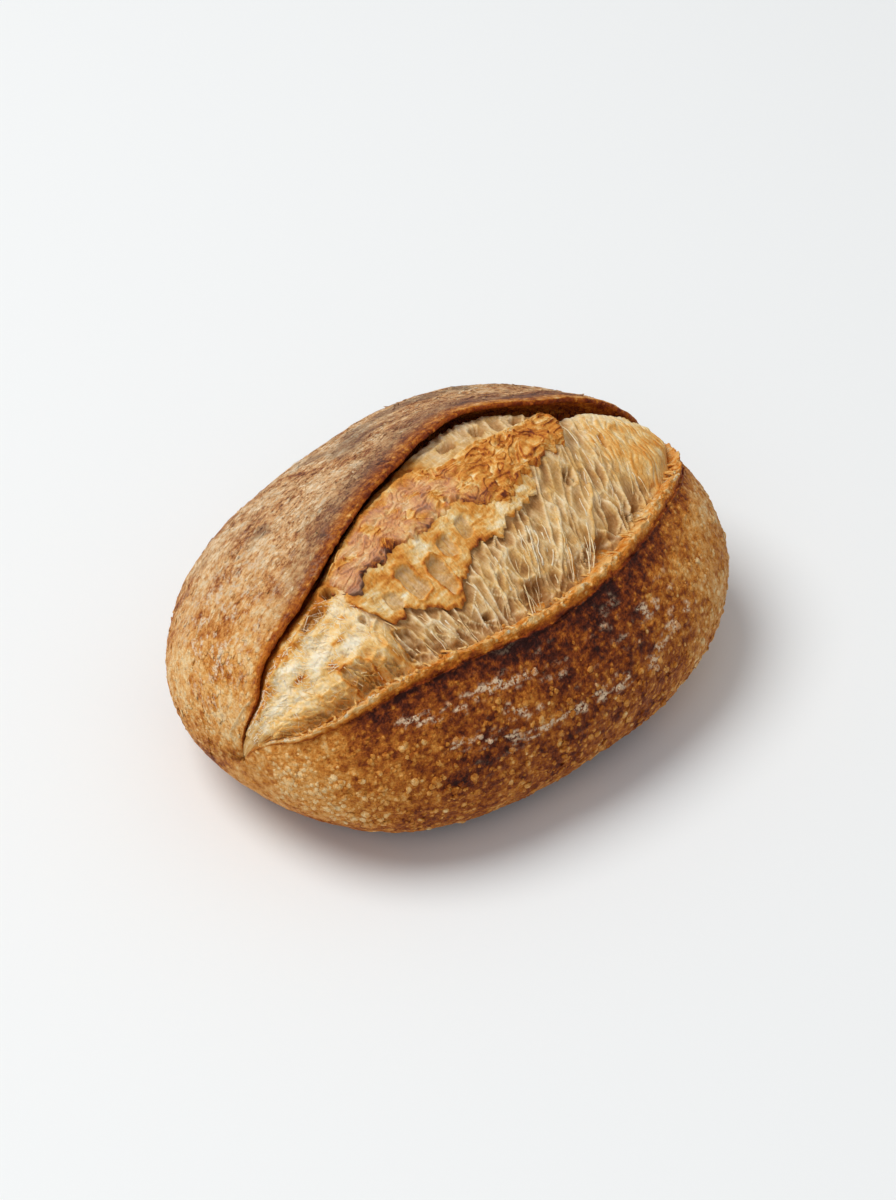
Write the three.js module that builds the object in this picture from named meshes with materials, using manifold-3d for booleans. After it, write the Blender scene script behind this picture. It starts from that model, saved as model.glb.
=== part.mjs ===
// An oval sourdough loaf, baked free-standing and scored once from tip to tip.
//
// The crust has burst open along the score. On the far side (+Y) it has lifted into a thin
// overhanging flap, the ear, and on the near side (-Y) it ends in a swollen, torn rim. Between
// the two the crumb has risen as one long bloom: a pale mound at the -X end, then a toasted cap
// with a terrace below its torn edge, and under that thin membranes stretched down to the rim.
//
// Millimetres, +Z up, +X along the loaf. The origin is the middle of the footprint.
//
// A place on the loaf is given by two numbers: along, from 0 at the -X tip to 1 at the +X tip, and
// around, an angle in degrees in the cross-section: 0 faces -Y, 90 up, 180 faces +Y and 270 down.
// A lift is a height in millimetres, square to the bare body.

import * as THREE from "three";
import { mergeVertices } from "three/addons/utils/BufferGeometryUtils.js";
import Module from "manifold-3d";

// Body
const HALF_LENGTH = 120;
const HALF_WIDTH = 95;
const WAIST_HEIGHT = 34.5; // height of the widest level at mid-length
const DOME_HEIGHT = 65.5; // from the waist to the top
const BELLY_DEPTH = 43.8; // from the waist down, before the base is flattened
const BASE_SOFTNESS = 2; // rounding where the side meets the flat base
const END_ROUNDNESS = 2.44; // exponents: 2 is an ellipse, more is squarer
const DOME_ROUNDNESS = 1.79;
const BELLY_ROUNDNESS = 2.38;
const TIP_RISE = 9.2; // the tips sit this much above the waist
const TAPER = 0.1; // the +X end is this share wider than the middle
const TILT = -0.046; // and this share lower
const SIDE_BOW = 5.6; // the middle bows this much towards +Y
const LUMP_HEIGHT = 0.7;
const BASE_EDGE = 38; // degrees either side of straight down that the flat base covers

// Score: where its two edges run, as [along, around] knots
const RIM_LINE = [
  [0.02, 63], [0.065, 57], [0.12, 50], [0.25, 49.8], [0.35, 48.2], [0.44, 44.8],
  [0.5, 44.3], [0.56, 45], [0.62, 46.8], [0.7, 49.3], [0.85, 53], [0.98, 62],
];
const LIP_LINE = [
  [0.02, 90], [0.1, 82], [0.16, 86.5], [0.27, 88.5], [0.365, 95], [0.46, 100],
  [0.57, 103], [0.62, 100.5], [0.68, 93], [0.76, 87], [0.87, 79], [0.98, 70],
];
const EAR_LIFT = 8;
const EAR_THICKNESS = 3.2;
const EAR_OVERHANG = 9; // degrees from the lip back to the crease under it
const EAR_ROOT = 34; // degrees over which the lift fades into the dome
const CREASE_DEPTH = 8;
const RIM_SWELL = 2.4;
const RIM_WIDTH = 5.5; // degrees from the rim's outer foot to its crest
const CHANNEL_DEPTH = 13; // the crust body is cut down this far under the bloom

// Bloom: lines that its torn edges follow, as [along, around] knots
const CAP_LINE = [
  [0.3, 84], [0.32, 79], [0.35, 81], [0.42, 80.5], [0.49, 80], [0.51, 76], [0.53, 72.5],
  [0.555, 76], [0.6, 75.5], [0.66, 78], [0.69, 84], [0.71, 90],
];
const TERRACE_LINE = [
  [0.3, 74], [0.34, 64], [0.365, 66], [0.395, 61], [0.42, 65], [0.46, 69], [0.5, 68.5],
  [0.56, 69], [0.59, 75],
];
const CAP_STEP = 2;
const TERRACE_STEP = 2.6;
const BLOOM_EDGE = -4.6; // lift where the bloom leaves the rim
const HOLLOW_LIFT = -1.8; // lift of the membranes below the terrace
const MOUND_LIFT = 2.2; // lift of the pale mound and of the skin at the +X end
const RAG_HEIGHT = 0.9; // the tear along the rim
const STRAND_COUNT = 12;
const STRAND_HEIGHT = 1.5;
const STRAND_WIDTH = 0.009; // half-width in shares of the length
// Hollow cells: place, half-sizes (along, and degrees around) and depth in mm
const CELLS = [
  { along: 0.368, around: 69, long: 0.018, wide: 5.5, depth: 3.6 },
  { along: 0.408, around: 67.5, long: 0.017, wide: 5.5, depth: 4 },
  { along: 0.246, around: 60, long: 0.014, wide: 7, depth: 4 },
  { along: 0.285, around: 57, long: 0.016, wide: 5, depth: 2.6 },
  { along: 0.322, around: 60, long: 0.03, wide: 8, depth: 3 },
  { along: 0.215, around: 54.5, long: 0.016, wide: 3.5, depth: 2 },
  { along: 0.165, around: 54.5, long: 0.013, wide: 3.5, depth: 1.8 },
  { along: 0.27, around: 84, long: 0.024, wide: 3.4, depth: 5 },
  { along: 0.307, around: 86, long: 0.011, wide: 2.6, depth: 5 },
  { along: 0.617, around: 69, long: 0.015, wide: 2.8, depth: 2.6 },
  { along: 0.48, around: 50, long: 0.022, wide: 5, depth: 2 },
  { along: 0.585, around: 49.5, long: 0.024, wide: 4, depth: 2.4 },
  { along: 0.66, around: 53, long: 0.02, wide: 4.5, depth: 2.4 },
  { along: 0.545, around: 99, long: 0.02, wide: 2.6, depth: 3.6 },
  { along: 0.59, around: 98, long: 0.016, wide: 3, depth: 4 },
  { along: 0.64, around: 94, long: 0.014, wide: 3, depth: 3.4 },
];

// Mesh density
const CRUST_STATIONS = 76;
const EAR_STEPS = 5;
const SIDE_STEPS = 10;
const BASE_STEPS = 4;
const BLOOM_STATIONS = 92;
const BLOOM_STEPS = 24;
const TIP_GAP = 0.02; // share of the length left for the point at either tip

const { abs, cos, sin, min, max, exp, sqrt, sign, PI } = Math;
const signedPower = (v, e) => sign(v) * abs(v) ** e;
const mix = (a, b, t) => a + (b - a) * t;
const smooth = (from, to, v) => {
  const t = min(1, max(0, (v - from) / (to - from)));
  return t * t * (3 - 2 * t);
};
const bell = (v, middle, width) => exp(-(((v - middle) / width) ** 2));
const spread = (count, from, to) =>
  Array.from({ length: count }, (_, i) => mix(from, to, (i + 0.5) / count));

// A smooth line through knots, as a function of along.
function lineThrough(knots) {
  const slope = (i) => {
    const [x0, y0] = knots[max(0, i - 1)];
    const [x1, y1] = knots[min(knots.length - 1, i + 1)];
    return (y1 - y0) / (x1 - x0);
  };
  return (x) => {
    let i = knots.findIndex(([knot]) => knot > x) - 1;
    if (i < 0) i = x <= knots[0][0] ? 0 : knots.length - 2;
    const [x0, y0] = knots[i];
    const [x1, y1] = knots[i + 1];
    const span = x1 - x0;
    const t = min(1, max(0, (x - x0) / span));
    const bend0 = slope(i) * span * t * (1 - t) ** 2;
    const bend1 = slope(i + 1) * span * t * t * (t - 1);
    return mix(y0, y1, t * t * (3 - 2 * t)) + bend0 + bend1;
  };
}

// ---- Body

function bodyPoint(along, around) {
  const u = -cos(PI * along);
  const size = (1 - abs(u) ** END_ROUNDNESS) ** (1 / END_ROUNDNESS);
  const angle = (around * PI) / 180;
  const up = sin(angle) >= 0;
  const power = 2 / (up ? DOME_ROUNDNESS : BELLY_ROUNDNESS);
  const reach = up ? DOME_HEIGHT * (1 + TILT * u) : BELLY_DEPTH;
  const across = HALF_WIDTH * size * (1 + TAPER * u);
  return new THREE.Vector3(
    HALF_LENGTH * u,
    SIDE_BOW * (size - 0.6) - across * signedPower(cos(angle), power),
    WAIST_HEIGHT + TIP_RISE * (1 - size) + reach * size * signedPower(sin(angle), power),
  );
}

function bodyNormal(along, around) {
  const lengthwise = bodyPoint(along + 1e-3, around).sub(bodyPoint(along - 1e-3, around));
  const girthwise = bodyPoint(along, around + 0.5).sub(bodyPoint(along, around - 0.5));
  return lengthwise.cross(girthwise).normalize();
}

// Slow unevenness, so that no side is a perfect curve.
function lump(p) {
  const broad = sin(p.x / 23 + 1.1) * sin(p.y / 19 + 0.4);
  const fine = sin(p.x / 11 - 0.7) * sin(p.z / 13 + p.y / 17);
  return LUMP_HEIGHT * (broad + 0.6 * fine);
}

// A point lifted off the body. Anything under the table is pressed flat onto it.
function loafPoint(along, around, lift) {
  const p = bodyPoint(along, around);
  p.addScaledVector(bodyNormal(along, around), lift + lump(p));
  const k = BASE_SOFTNESS;
  if (p.z < -k) p.z = 0;
  else if (p.z < k) p.z = (p.z + k) ** 2 / (4 * k);
  return p;
}

// ---- Score

const rimAround = lineThrough(RIM_LINE);
const lipAround = lineThrough(LIP_LINE);
const openness = (along) => smooth(0, 0.14, along) * smooth(0, 0.14, 1 - along);
// The lip rises from the -X tip, stands highest past the middle and closes at the +X end.
const earLift = (along) =>
  EAR_LIFT * smooth(-0.02, 0.45, along) * smooth(0.05, 0.36, 1 - along) +
  1.5 * bell(along, 0.17, 0.05);
const overhang = (along) => 0.5 + (EAR_OVERHANG * earLift(along)) / EAR_LIFT;
const creaseAround = (along) => lipAround(along) + overhang(along);

// One closed loop around the loaf: [around, lift] pairs from the crease under the ear, out over
// the lip, down the far side, across the base, up the near side, over the rim and back beneath
// the bloom.
function crustLoop(along) {
  const open = openness(along);
  const lip = lipAround(along);
  const crease = creaseAround(along);
  const rim = rimAround(along);
  const foot = 360 + rim - RIM_WIDTH;
  const lift = earLift(along);
  const thickness = EAR_THICKNESS * (0.3 + 0.7 * open);
  const loop = [];
  for (const t of spread(EAR_STEPS, 0, 1)) {
    const underside = mix(-CREASE_DEPTH * open, lift - thickness, sqrt(t));
    loop.push([mix(crease, lip, t), underside]);
  }
  loop.push([lip - 0.5, lift - 0.5 * thickness]);
  for (const t of spread(EAR_STEPS, 0, 1))
    loop.push([lip + EAR_ROOT * t ** 1.4, lift * (1 - smooth(0, 1, t))]);
  for (const around of spread(SIDE_STEPS, lip + EAR_ROOT, 270 - BASE_EDGE)) loop.push([around, 0]);
  for (const around of spread(BASE_STEPS, 270 - BASE_EDGE, 270 + BASE_EDGE))
    loop.push([around, 0]);
  for (const around of spread(SIDE_STEPS, 270 + BASE_EDGE, foot)) loop.push([around, 0]);
  // a fold at the rim's foot, the swell, the torn inner face and the channel
  loop.push([foot, -0.8 * open]);
  loop.push([foot + 0.35 * RIM_WIDTH, 0.6 * RIM_SWELL * open]);
  loop.push([foot + 0.8 * RIM_WIDTH, RIM_SWELL * open]);
  loop.push([360 + rim + 0.8, 0.7 * RIM_SWELL * open]);
  loop.push([360 + rim + 2.2, -CHANNEL_DEPTH * open - 0.5]);
  loop.push([360 + crease - 2, -CHANNEL_DEPTH * open - 0.5]);
  return loop;
}

// ---- Bloom

const capAround = lineThrough(CAP_LINE);
const terraceAround = lineThrough(TERRACE_LINE);
const capLength = (along) => smooth(0.3, 0.33, along) * smooth(0.29, 0.33, 1 - along);
const terraceLength = (along) => smooth(0.305, 0.33, along) * smooth(0.4, 0.43, 1 - along);
const membraneLength = (along) => smooth(0.3, 0.36, along) * smooth(0.27, 0.33, 1 - along);

// Strands run from the terrace down to the rim, and lean towards -X as they go down.
function strandRelief(along, around) {
  const down = (72 - around) / 25;
  let height = 0;
  for (let i = 0; i < STRAND_COUNT; i++) {
    const top = mix(0.4, 0.71, i / (STRAND_COUNT - 1)) + 0.006 * sin(i * 5.3);
    const line = top - (0.035 + 0.012 * sin(i * 1.9)) * down;
    height = max(height, bell(along, line, STRAND_WIDTH * (1 + 0.3 * sin(i * 3.7))));
  }
  const zone = smooth(0.38, 0.42, along) * (1 - smooth(66, 72, around));
  return STRAND_HEIGHT * zone * (height - 0.4);
}

function cellRelief(along, around) {
  let depth = 0;
  for (const cell of CELLS) {
    const r = Math.hypot((along - cell.along) / cell.long, (around - cell.around) / cell.wide);
    depth = max(depth, cell.depth * (1 - smooth(0.45, 1.1, r)));
  }
  return -depth;
}

function bloomLift(along, around) {
  const rim = rimAround(along);
  const brink = lipAround(along) - mix(8, 0, smooth(0.2, 0.4, along));
  const rise = smooth(rim, mix(60, 75, membraneLength(along)), around);
  const top = mix(MOUND_LIFT, HOLLOW_LIFT, membraneLength(along));
  const cap = capLength(along) * smooth(-0.6, 0.6, around - capAround(along));
  const terrace = terraceLength(along) * smooth(-0.6, 0.6, around - terraceAround(along));
  const rag = sin(along * 150) * sin(along * 61) * bell(around, rim + 3, 2.5);
  const relief =
    mix(BLOOM_EDGE, top, rise) +
    CAP_STEP * cap +
    TERRACE_STEP * max(cap, terrace) +
    RAG_HEIGHT * rag +
    strandRelief(along, around) +
    cellRelief(along, around);
  const drop = (CREASE_DEPTH + 6) * smooth(0, 1, (around - brink) / (creaseAround(along) - brink));
  return openness(along) * (relief - drop);
}

// The bloom is a long wedge. Its upper face carries the relief and its underside lies in the
// crust's channel.
function bloomLoop(along) {
  const from = rimAround(along) + 0.4;
  const to = creaseAround(along) + 1.5;
  const top = spread(BLOOM_STEPS, from, to).map((around) => [around, bloomLift(along, around)]);
  const floor = -(CHANNEL_DEPTH + 8) * openness(along) - 3;
  return [...top, [to, floor], [from, floor]];
}

// ---- Solids

// Joins equal loops, one for each station, into a closed body with a point at either tip.
function loft(stationCount, tipGap, loopAt) {
  const rings = spread(stationCount, tipGap, 1 - tipGap).map((along) =>
    loopAt(along).map(([around, lift]) => loafPoint(along, around, lift)),
  );
  const size = rings[0].length;
  const points = rings.flat();
  const index = [];
  const at = (ring, i) => ring * size + (i % size);
  for (let ring = 0; ring + 1 < rings.length; ring++)
    for (let i = 0; i < size; i++) {
      index.push(at(ring, i), at(ring + 1, i), at(ring, i + 1));
      index.push(at(ring, i + 1), at(ring + 1, i), at(ring + 1, i + 1));
    }
  for (const [ring, side] of [[0, 0], [rings.length - 1, 1]]) {
    const tip = new THREE.Vector3();
    rings[ring].forEach((p) => tip.addScaledVector(p, 1 / size));
    tip.x += mix(-0.4, 0.4, side);
    points.push(tip);
    for (let i = 0; i < size; i++)
      index.push(points.length - 1, at(ring, i + side), at(ring, i + 1 - side));
  }
  return new THREE.BufferGeometry().setFromPoints(points).setIndex(index);
}

const wasm = await Module();
wasm.setup();

function toSolid(geometry) {
  const merged = mergeVertices(geometry);
  const vertProperties = merged.attributes.position.array;
  const triVerts = new Uint32Array(merged.index.array);
  return new wasm.Manifold(new wasm.Mesh({ numProp: 3, vertProperties, triVerts }));
}

function toGeometry(solid) {
  const { vertProperties, triVerts } = solid.getMesh();
  return new THREE.BufferGeometry()
    .setAttribute("position", new THREE.BufferAttribute(vertProperties, 3))
    .setIndex(new THREE.BufferAttribute(triVerts, 1));
}

// Moves the middle of the footprint onto the origin.
function centre(geometry) {
  geometry.computeBoundingBox();
  const middle = geometry.boundingBox.getCenter(new THREE.Vector3());
  return geometry.translate(-middle.x, -middle.y, 0);
}

function makeLoaf() {
  const crust = toSolid(loft(CRUST_STATIONS, TIP_GAP, crustLoop));
  const bloom = toSolid(loft(BLOOM_STATIONS, TIP_GAP + 0.01, bloomLoop));
  const geometry = centre(toGeometry(crust.add(bloom)));
  geometry.computeVertexNormals();
  const bakedCrust = new THREE.MeshStandardMaterial({
    color: 0xb9783f,
    roughness: 0.68,
    metalness: 0,
  });
  const loaf = new THREE.Mesh(geometry, bakedCrust);
  loaf.name = "loaf";
  return loaf;
}

const part = new THREE.Group();
part.add(makeLoaf());

export default part;
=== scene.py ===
import bpy
import numpy as np
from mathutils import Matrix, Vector


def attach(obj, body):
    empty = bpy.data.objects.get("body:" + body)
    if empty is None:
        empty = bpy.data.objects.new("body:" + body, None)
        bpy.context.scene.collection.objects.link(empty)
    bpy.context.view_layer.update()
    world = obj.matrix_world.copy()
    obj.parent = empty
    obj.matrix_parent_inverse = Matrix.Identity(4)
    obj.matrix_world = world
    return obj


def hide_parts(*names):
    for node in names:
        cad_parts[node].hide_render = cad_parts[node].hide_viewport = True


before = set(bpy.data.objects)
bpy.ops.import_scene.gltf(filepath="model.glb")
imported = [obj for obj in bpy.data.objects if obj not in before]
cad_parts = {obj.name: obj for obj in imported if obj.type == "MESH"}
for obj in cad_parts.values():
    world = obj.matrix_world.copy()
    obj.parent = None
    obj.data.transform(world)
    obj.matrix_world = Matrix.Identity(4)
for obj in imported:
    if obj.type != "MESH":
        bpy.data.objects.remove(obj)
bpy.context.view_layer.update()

mm = 0.001

# A place on the loaf is given by along, 0 at the -X tip and 1 at the +X tip, and around, the
# angle in the cross-section: 0 faces -Y, 90 up, 180 faces +Y, 270 down. A lift is square to the
# bare body. Lengths are in mm until a mesh is made.


def hexColour(text):
    srgb = np.array([int(text[i:i + 2], 16) / 255 for i in (1, 3, 5)])
    linear = np.where(srgb <= 0.04045, srgb / 12.92, ((srgb + 0.055) / 1.055) ** 2.4)
    return (*linear.tolist(), 1.0)


def mix(a, b, t):
    return a + (b - a) * t


def smooth(start, end, v):
    t = np.clip((v - start) / (end - start), 0, 1)
    return t * t * (3 - 2 * t)


def bell(v, middle, width):
    return np.exp(-((v - middle) / width) ** 2)


def lineThrough(knots):
    # a smooth line through [x, y] knots, as a function of x
    xs, ys = np.array(knots, float).T
    slopes = (np.append(ys[1:], ys[-1]) - np.append(ys[0], ys[:-1]))
    slopes = slopes / (np.append(xs[1:], xs[-1]) - np.append(xs[0], xs[:-1]))

    def line(x):
        i = np.clip(np.searchsorted(xs, x, side="right") - 1, 0, len(xs) - 2)
        span = xs[i + 1] - xs[i]
        t = np.clip((x - xs[i]) / span, 0, 1)
        bends = slopes[i] * t * (1 - t) ** 2 + slopes[i + 1] * t * t * (t - 1)
        return mix(ys[i], ys[i + 1], t * t * (3 - 2 * t)) + span * bends

    return line


# one seeded table for all the noise, so that every run is the same
tableMaker = np.random.default_rng(7)
order = np.tile(tableMaker.permutation(256), 3)
gradients = tableMaker.normal(size=(256, 3))
gradients /= np.linalg.norm(gradients, axis=1, keepdims=True)
jitter = tableMaker.uniform(-0.42, 0.42, size=(256, 2))


def gradientNoise(q):
    cell = np.floor(q).astype(int)
    f = q - cell
    fade = f * f * f * (f * (f * 6 - 15) + 10)
    total = 0
    for corner in np.ndindex(2, 2, 2):
        c = (cell + corner) & 255
        pick = order[order[order[c[..., 0]] + c[..., 1]] + c[..., 2]]
        weight = np.prod(np.where(corner, fade, 1 - fade), axis=-1)
        total = total + weight * np.sum(gradients[pick] * (f - corner), axis=-1)
    return 1.7 * total


def noise(points, size, octaves=1, shift=0.0):
    # about -1 to 1; size is the rough width of one feature, for all axes or for each
    q = points / (np.asarray(size, float) * 2) + shift
    total = 0
    for octave in range(octaves):
        total = total + gradientNoise(q) * 0.5 ** octave
        q = q * 2.03 + 19.7
    return total


def wrinkles(points, size, octaves=1, shift=0.0):
    # 1 on thin creases, falling to 0 between them
    q = points / (np.asarray(size, float) * 2) + shift
    total = 0
    for octave in range(octaves):
        total = total + (1 - np.abs(gradientNoise(q)) * 2).clip(0) ** 2 * 0.5 ** octave
        q = q * 2.1 + 7.3
    return total / (2 - 0.5 ** (octaves - 1))


def cells(a, b, seed):
    # scattered cells one unit across: the way to the cell's edge, and a number for each cell
    cornerA, cornerB = np.floor(a).astype(int), np.floor(b).astype(int)
    nearest = np.full(a.shape, 9.0)
    second = np.full(a.shape, 9.0)
    name = np.zeros(a.shape)
    for stepA, stepB in np.ndindex(3, 3):
        cellA, cellB = cornerA + stepA - 1, cornerB + stepB - 1
        pick = order[order[(cellA + seed) & 255] + (cellB & 255)]
        away = np.hypot(a - cellA - 0.5 - jitter[pick, 0], b - cellB - 0.5 - jitter[pick, 1])
        closer = away < nearest
        second = np.where(closer, nearest, np.minimum(second, away))
        name = np.where(closer, pick / 255, name)
        nearest = np.where(closer, away, nearest)
    return second - nearest, name


def flatNoise(values, size, seed):
    # noise along one line, such as the raggedness of a torn edge
    q = np.stack([values, np.full_like(values, seed * 11.3), np.full_like(values, 4.1)], axis=-1)
    return noise(q, size, 2)


# the bare oval body in mm; a roundness of 2 is an ellipse, and more is squarer
body = {
    "halfLength": 120.0,
    "halfWidth": 95.0,
    "waistHeight": 34.5,
    "domeHeight": 65.5,
    "bellyDepth": 43.8,
    "baseSoftness": 2.0,
    "endRoundness": 2.44,
    "domeRoundness": 1.79,
    "bellyRoundness": 2.38,
    "tipRise": 9.2,
    "taper": 0.1,
    "tilt": -0.046,
    "sideBow": 5.6,
    "lumpHeight": 0.7,
}


def bodyPoint(along, around):
    u = -np.cos(np.pi * along)
    size = (1 - np.abs(u) ** body["endRoundness"]).clip(0) ** (1 / body["endRoundness"])
    angle = np.radians(around)
    side, up = np.cos(angle), np.sin(angle)
    power = 2 / np.where(up >= 0, body["domeRoundness"], body["bellyRoundness"])
    reach = np.where(up >= 0, body["domeHeight"] * (1 + body["tilt"] * u), body["bellyDepth"])
    across = body["halfWidth"] * size * (1 + body["taper"] * u)
    y = body["sideBow"] * (size - 0.6) - across * np.sign(side) * np.abs(side) ** power
    z = body["waistHeight"] + body["tipRise"] * (1 - size)
    z = z + reach * size * np.sign(up) * np.abs(up) ** power
    return np.stack(np.broadcast_arrays(body["halfLength"] * u, y, z), axis=-1)


def bodyFrame(along, around):
    # the bare body's point with its lengthwise, crosswise and outward directions
    step = 1e-3
    lengthwise = bodyPoint(along + step, around) - bodyPoint(along - step, around)
    crosswise = bodyPoint(along, around + 0.5) - bodyPoint(along, around - 0.5)
    outward = np.cross(lengthwise, crosswise)
    outward /= np.linalg.norm(outward, axis=-1, keepdims=True)
    lengthwise /= np.linalg.norm(lengthwise, axis=-1, keepdims=True)
    return bodyPoint(along, around), lengthwise, np.cross(outward, lengthwise), outward


def lump(p):
    x, y, z = np.moveaxis(p, -1, 0)
    broad = np.sin(x / 23 + 1.1) * np.sin(y / 19 + 0.4)
    fine = np.sin(x / 11 - 0.7) * np.sin(z / 13 + y / 17)
    return body["lumpHeight"] * (broad + 0.6 * fine)


def loafPoint(along, around, lift):
    p, _, _, outward = bodyFrame(along, around)
    p = p + outward * (lift + lump(p))[..., None]
    k = body["baseSoftness"]
    z = p[..., 2]
    p[..., 2] = np.where(z < -k, 0, np.where(z < k, (z + k) ** 2 / (4 * k), z))
    return p


# the way over the surface in mm, from the -X tip and from around 0
alongTable = np.linspace(0, 1, 2001)
profile = bodyPoint(alongTable, 35.0 + 0 * alongTable)
paceTable = np.append(0, np.cumsum(np.linalg.norm(np.diff(profile, axis=0), axis=1)))
mmPerDegree = 1.5


def paceOf(along):
    return np.interp(along, alongTable, paceTable)


def alongOf(pace):
    return np.interp(pace, paceTable, alongTable)


def flowOf(along, around):
    pace = paceOf(along)
    return np.stack(np.broadcast_arrays(pace, mmPerDegree * around, 0 * pace), axis=-1)


def evenStations(count, tipGap):
    # places along the loaf that lie evenly over its length and its rounded ends
    return alongOf(np.linspace(*paceOf([tipGap, 1 - tipGap]), count))


# the middle of the bare body's outline comes over the frame's own middle
sample = loafPoint(*np.meshgrid(evenStations(90, 0.002), np.arange(0, 360, 4), indexing="ij"), 0.0)
middle = (sample.reshape(-1, 3).min(axis=0) + sample.reshape(-1, 3).max(axis=0)) / 2
centring = np.array([-middle[0], -middle[1], 0])

# the score from tip to tip: lines of [along, around]; lift, thickness and depths in mm; overhang,
# root and rim width in degrees; openingLength as a share of the loaf's length
score = {
    "rimLine": [[0.02, 63], [0.065, 57], [0.12, 50], [0.25, 49.8], [0.35, 48.2], [0.44, 44.8],
                [0.5, 44.3], [0.56, 45], [0.62, 46.8], [0.7, 49.3], [0.85, 53], [0.98, 62]],
    "lipLine": [[0.02, 90], [0.1, 82], [0.16, 86.5], [0.27, 88.5], [0.365, 95], [0.46, 100],
                [0.57, 103], [0.62, 100.5], [0.68, 93], [0.76, 87], [0.87, 79], [0.98, 70]],
    "earLift": 8.0,
    "earThickness": 1.9,
    "earOverhang": 9.0,
    "earRoot": 34.0,
    "creaseDepth": 8.0,
    "rimWidth": 2.9,
    "channelDepth": 13.0,
    "openingLength": 0.14,
    # across the torn rim: share of the way, degrees inwards and height in mm
    "rimPlaces": [0, 0.1, 0.17, 0.24, 0.5, 0.72, 0.86, 0.93, 1.0],
    "rimOffsets": [0, 0.4, 0.65, 0.95, 2.0, 3.0, 3.7, 4.4, 5.4],
    "rimHeights": [0, 0.4, 0.3, -0.15, 0.7, 1.6, 1.9, -1.0, -7.0],
}
rimAround = lineThrough(score["rimLine"])
lipSmooth = lineThrough(score["lipLine"])


def openness(along):
    length = score["openingLength"]
    return smooth(0, length, along) * smooth(0, length, 1 - along)


def lipAround(along):
    pace = paceOf(along)
    ragged = 0.4 * flatNoise(pace, 5.0, 1) + 0.25 * flatNoise(pace, 1.5, 2)
    return lipSmooth(along) + openness(along) * ragged


def earLift(along):
    main = smooth(-0.02, 0.45, along) * smooth(0.05, 0.36, 1 - along)
    return score["earLift"] * main + 1.5 * bell(along, 0.17, 0.05)


def creaseAround(along):
    return lipSmooth(along) + 0.5 + score["earOverhang"] * earLift(along) / score["earLift"]


def addNode(tree, kind, settings=None, inputs=None):
    # an input may be a plain value, a node, whose first output is taken, or an output socket
    node = tree.nodes.new("ShaderNode" + kind)
    for name, value in (settings or {}).items():
        if name == "stops":
            ramp = node.color_ramp
            while len(ramp.elements) < len(value):
                ramp.elements.new(1.0)
            for stop, (place, colour) in zip(ramp.elements, value):
                stop.position = place
                stop.color = hexColour(colour)
        else:
            setattr(node, name, value)
    shown = [socket for socket in node.inputs if socket.enabled]
    for key, value in (inputs or {}).items():
        socket = shown[key] if isinstance(key, int) else next(s for s in shown if s.name == key)
        if isinstance(value, bpy.types.Node):
            value = next(output for output in value.outputs if output.enabled)
        if isinstance(value, bpy.types.NodeSocket):
            tree.links.new(value, socket)
        else:
            socket.default_value = value
    return node


def newMaterial(name):
    material = bpy.data.materials.new(name)
    material.use_nodes = True
    material.node_tree.nodes.clear()
    return material, material.node_tree


def makePiece(name, points, faces, masks, material):
    mesh = bpy.data.meshes.new(name)
    mesh.from_pydata((points + centring) * mm, [], faces)
    for maskName, values in masks.items():
        if values.ndim == 2:
            mask = mesh.attributes.new(maskName, "FLOAT_VECTOR", "POINT")
            mask.data.foreach_set("vector", values.astype(np.float32).ravel())
        else:
            mask = mesh.attributes.new(maskName, "FLOAT", "POINT")
            mask.data.foreach_set("value", values.astype(np.float32).ravel())
    mesh.materials.append(material)
    mesh.shade_smooth()
    mesh.update()
    piece = bpy.data.objects.new(name, mesh)
    bpy.context.scene.collection.objects.link(piece)
    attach(piece, "root")
    triangles = sum(len(face) - 2 for face in faces)
    print(f"{name}: {triangles} triangles")
    return piece


def loftFaces(rings, size):
    # a closed body over rings of points, with one more point past each end ring
    ring, i = np.meshgrid(np.arange(rings - 1), np.arange(size), indexing="ij")
    here, after = ring * size + i, ring * size + (i + 1) % size
    quads = np.stack([here, here + size, after + size, after], axis=-1).reshape(-1, 4)
    first = rings * size
    i = np.arange(size)
    tail = (rings - 1) * size
    startFan = np.stack([np.full(size, first), i, (i + 1) % size], axis=-1)
    endFan = np.stack([np.full(size, first + 1), tail + (i + 1) % size, tail + i], axis=-1)
    return quads.tolist() + startFan.tolist() + endFan.tolist()


def withEnds(values):
    # adds each end ring's mean for the two end points
    flat = values.reshape(-1, 3) if values.ndim == 3 else values.reshape(-1)
    return np.concatenate([flat, values[[0, -1]].mean(axis=1)])


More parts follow.
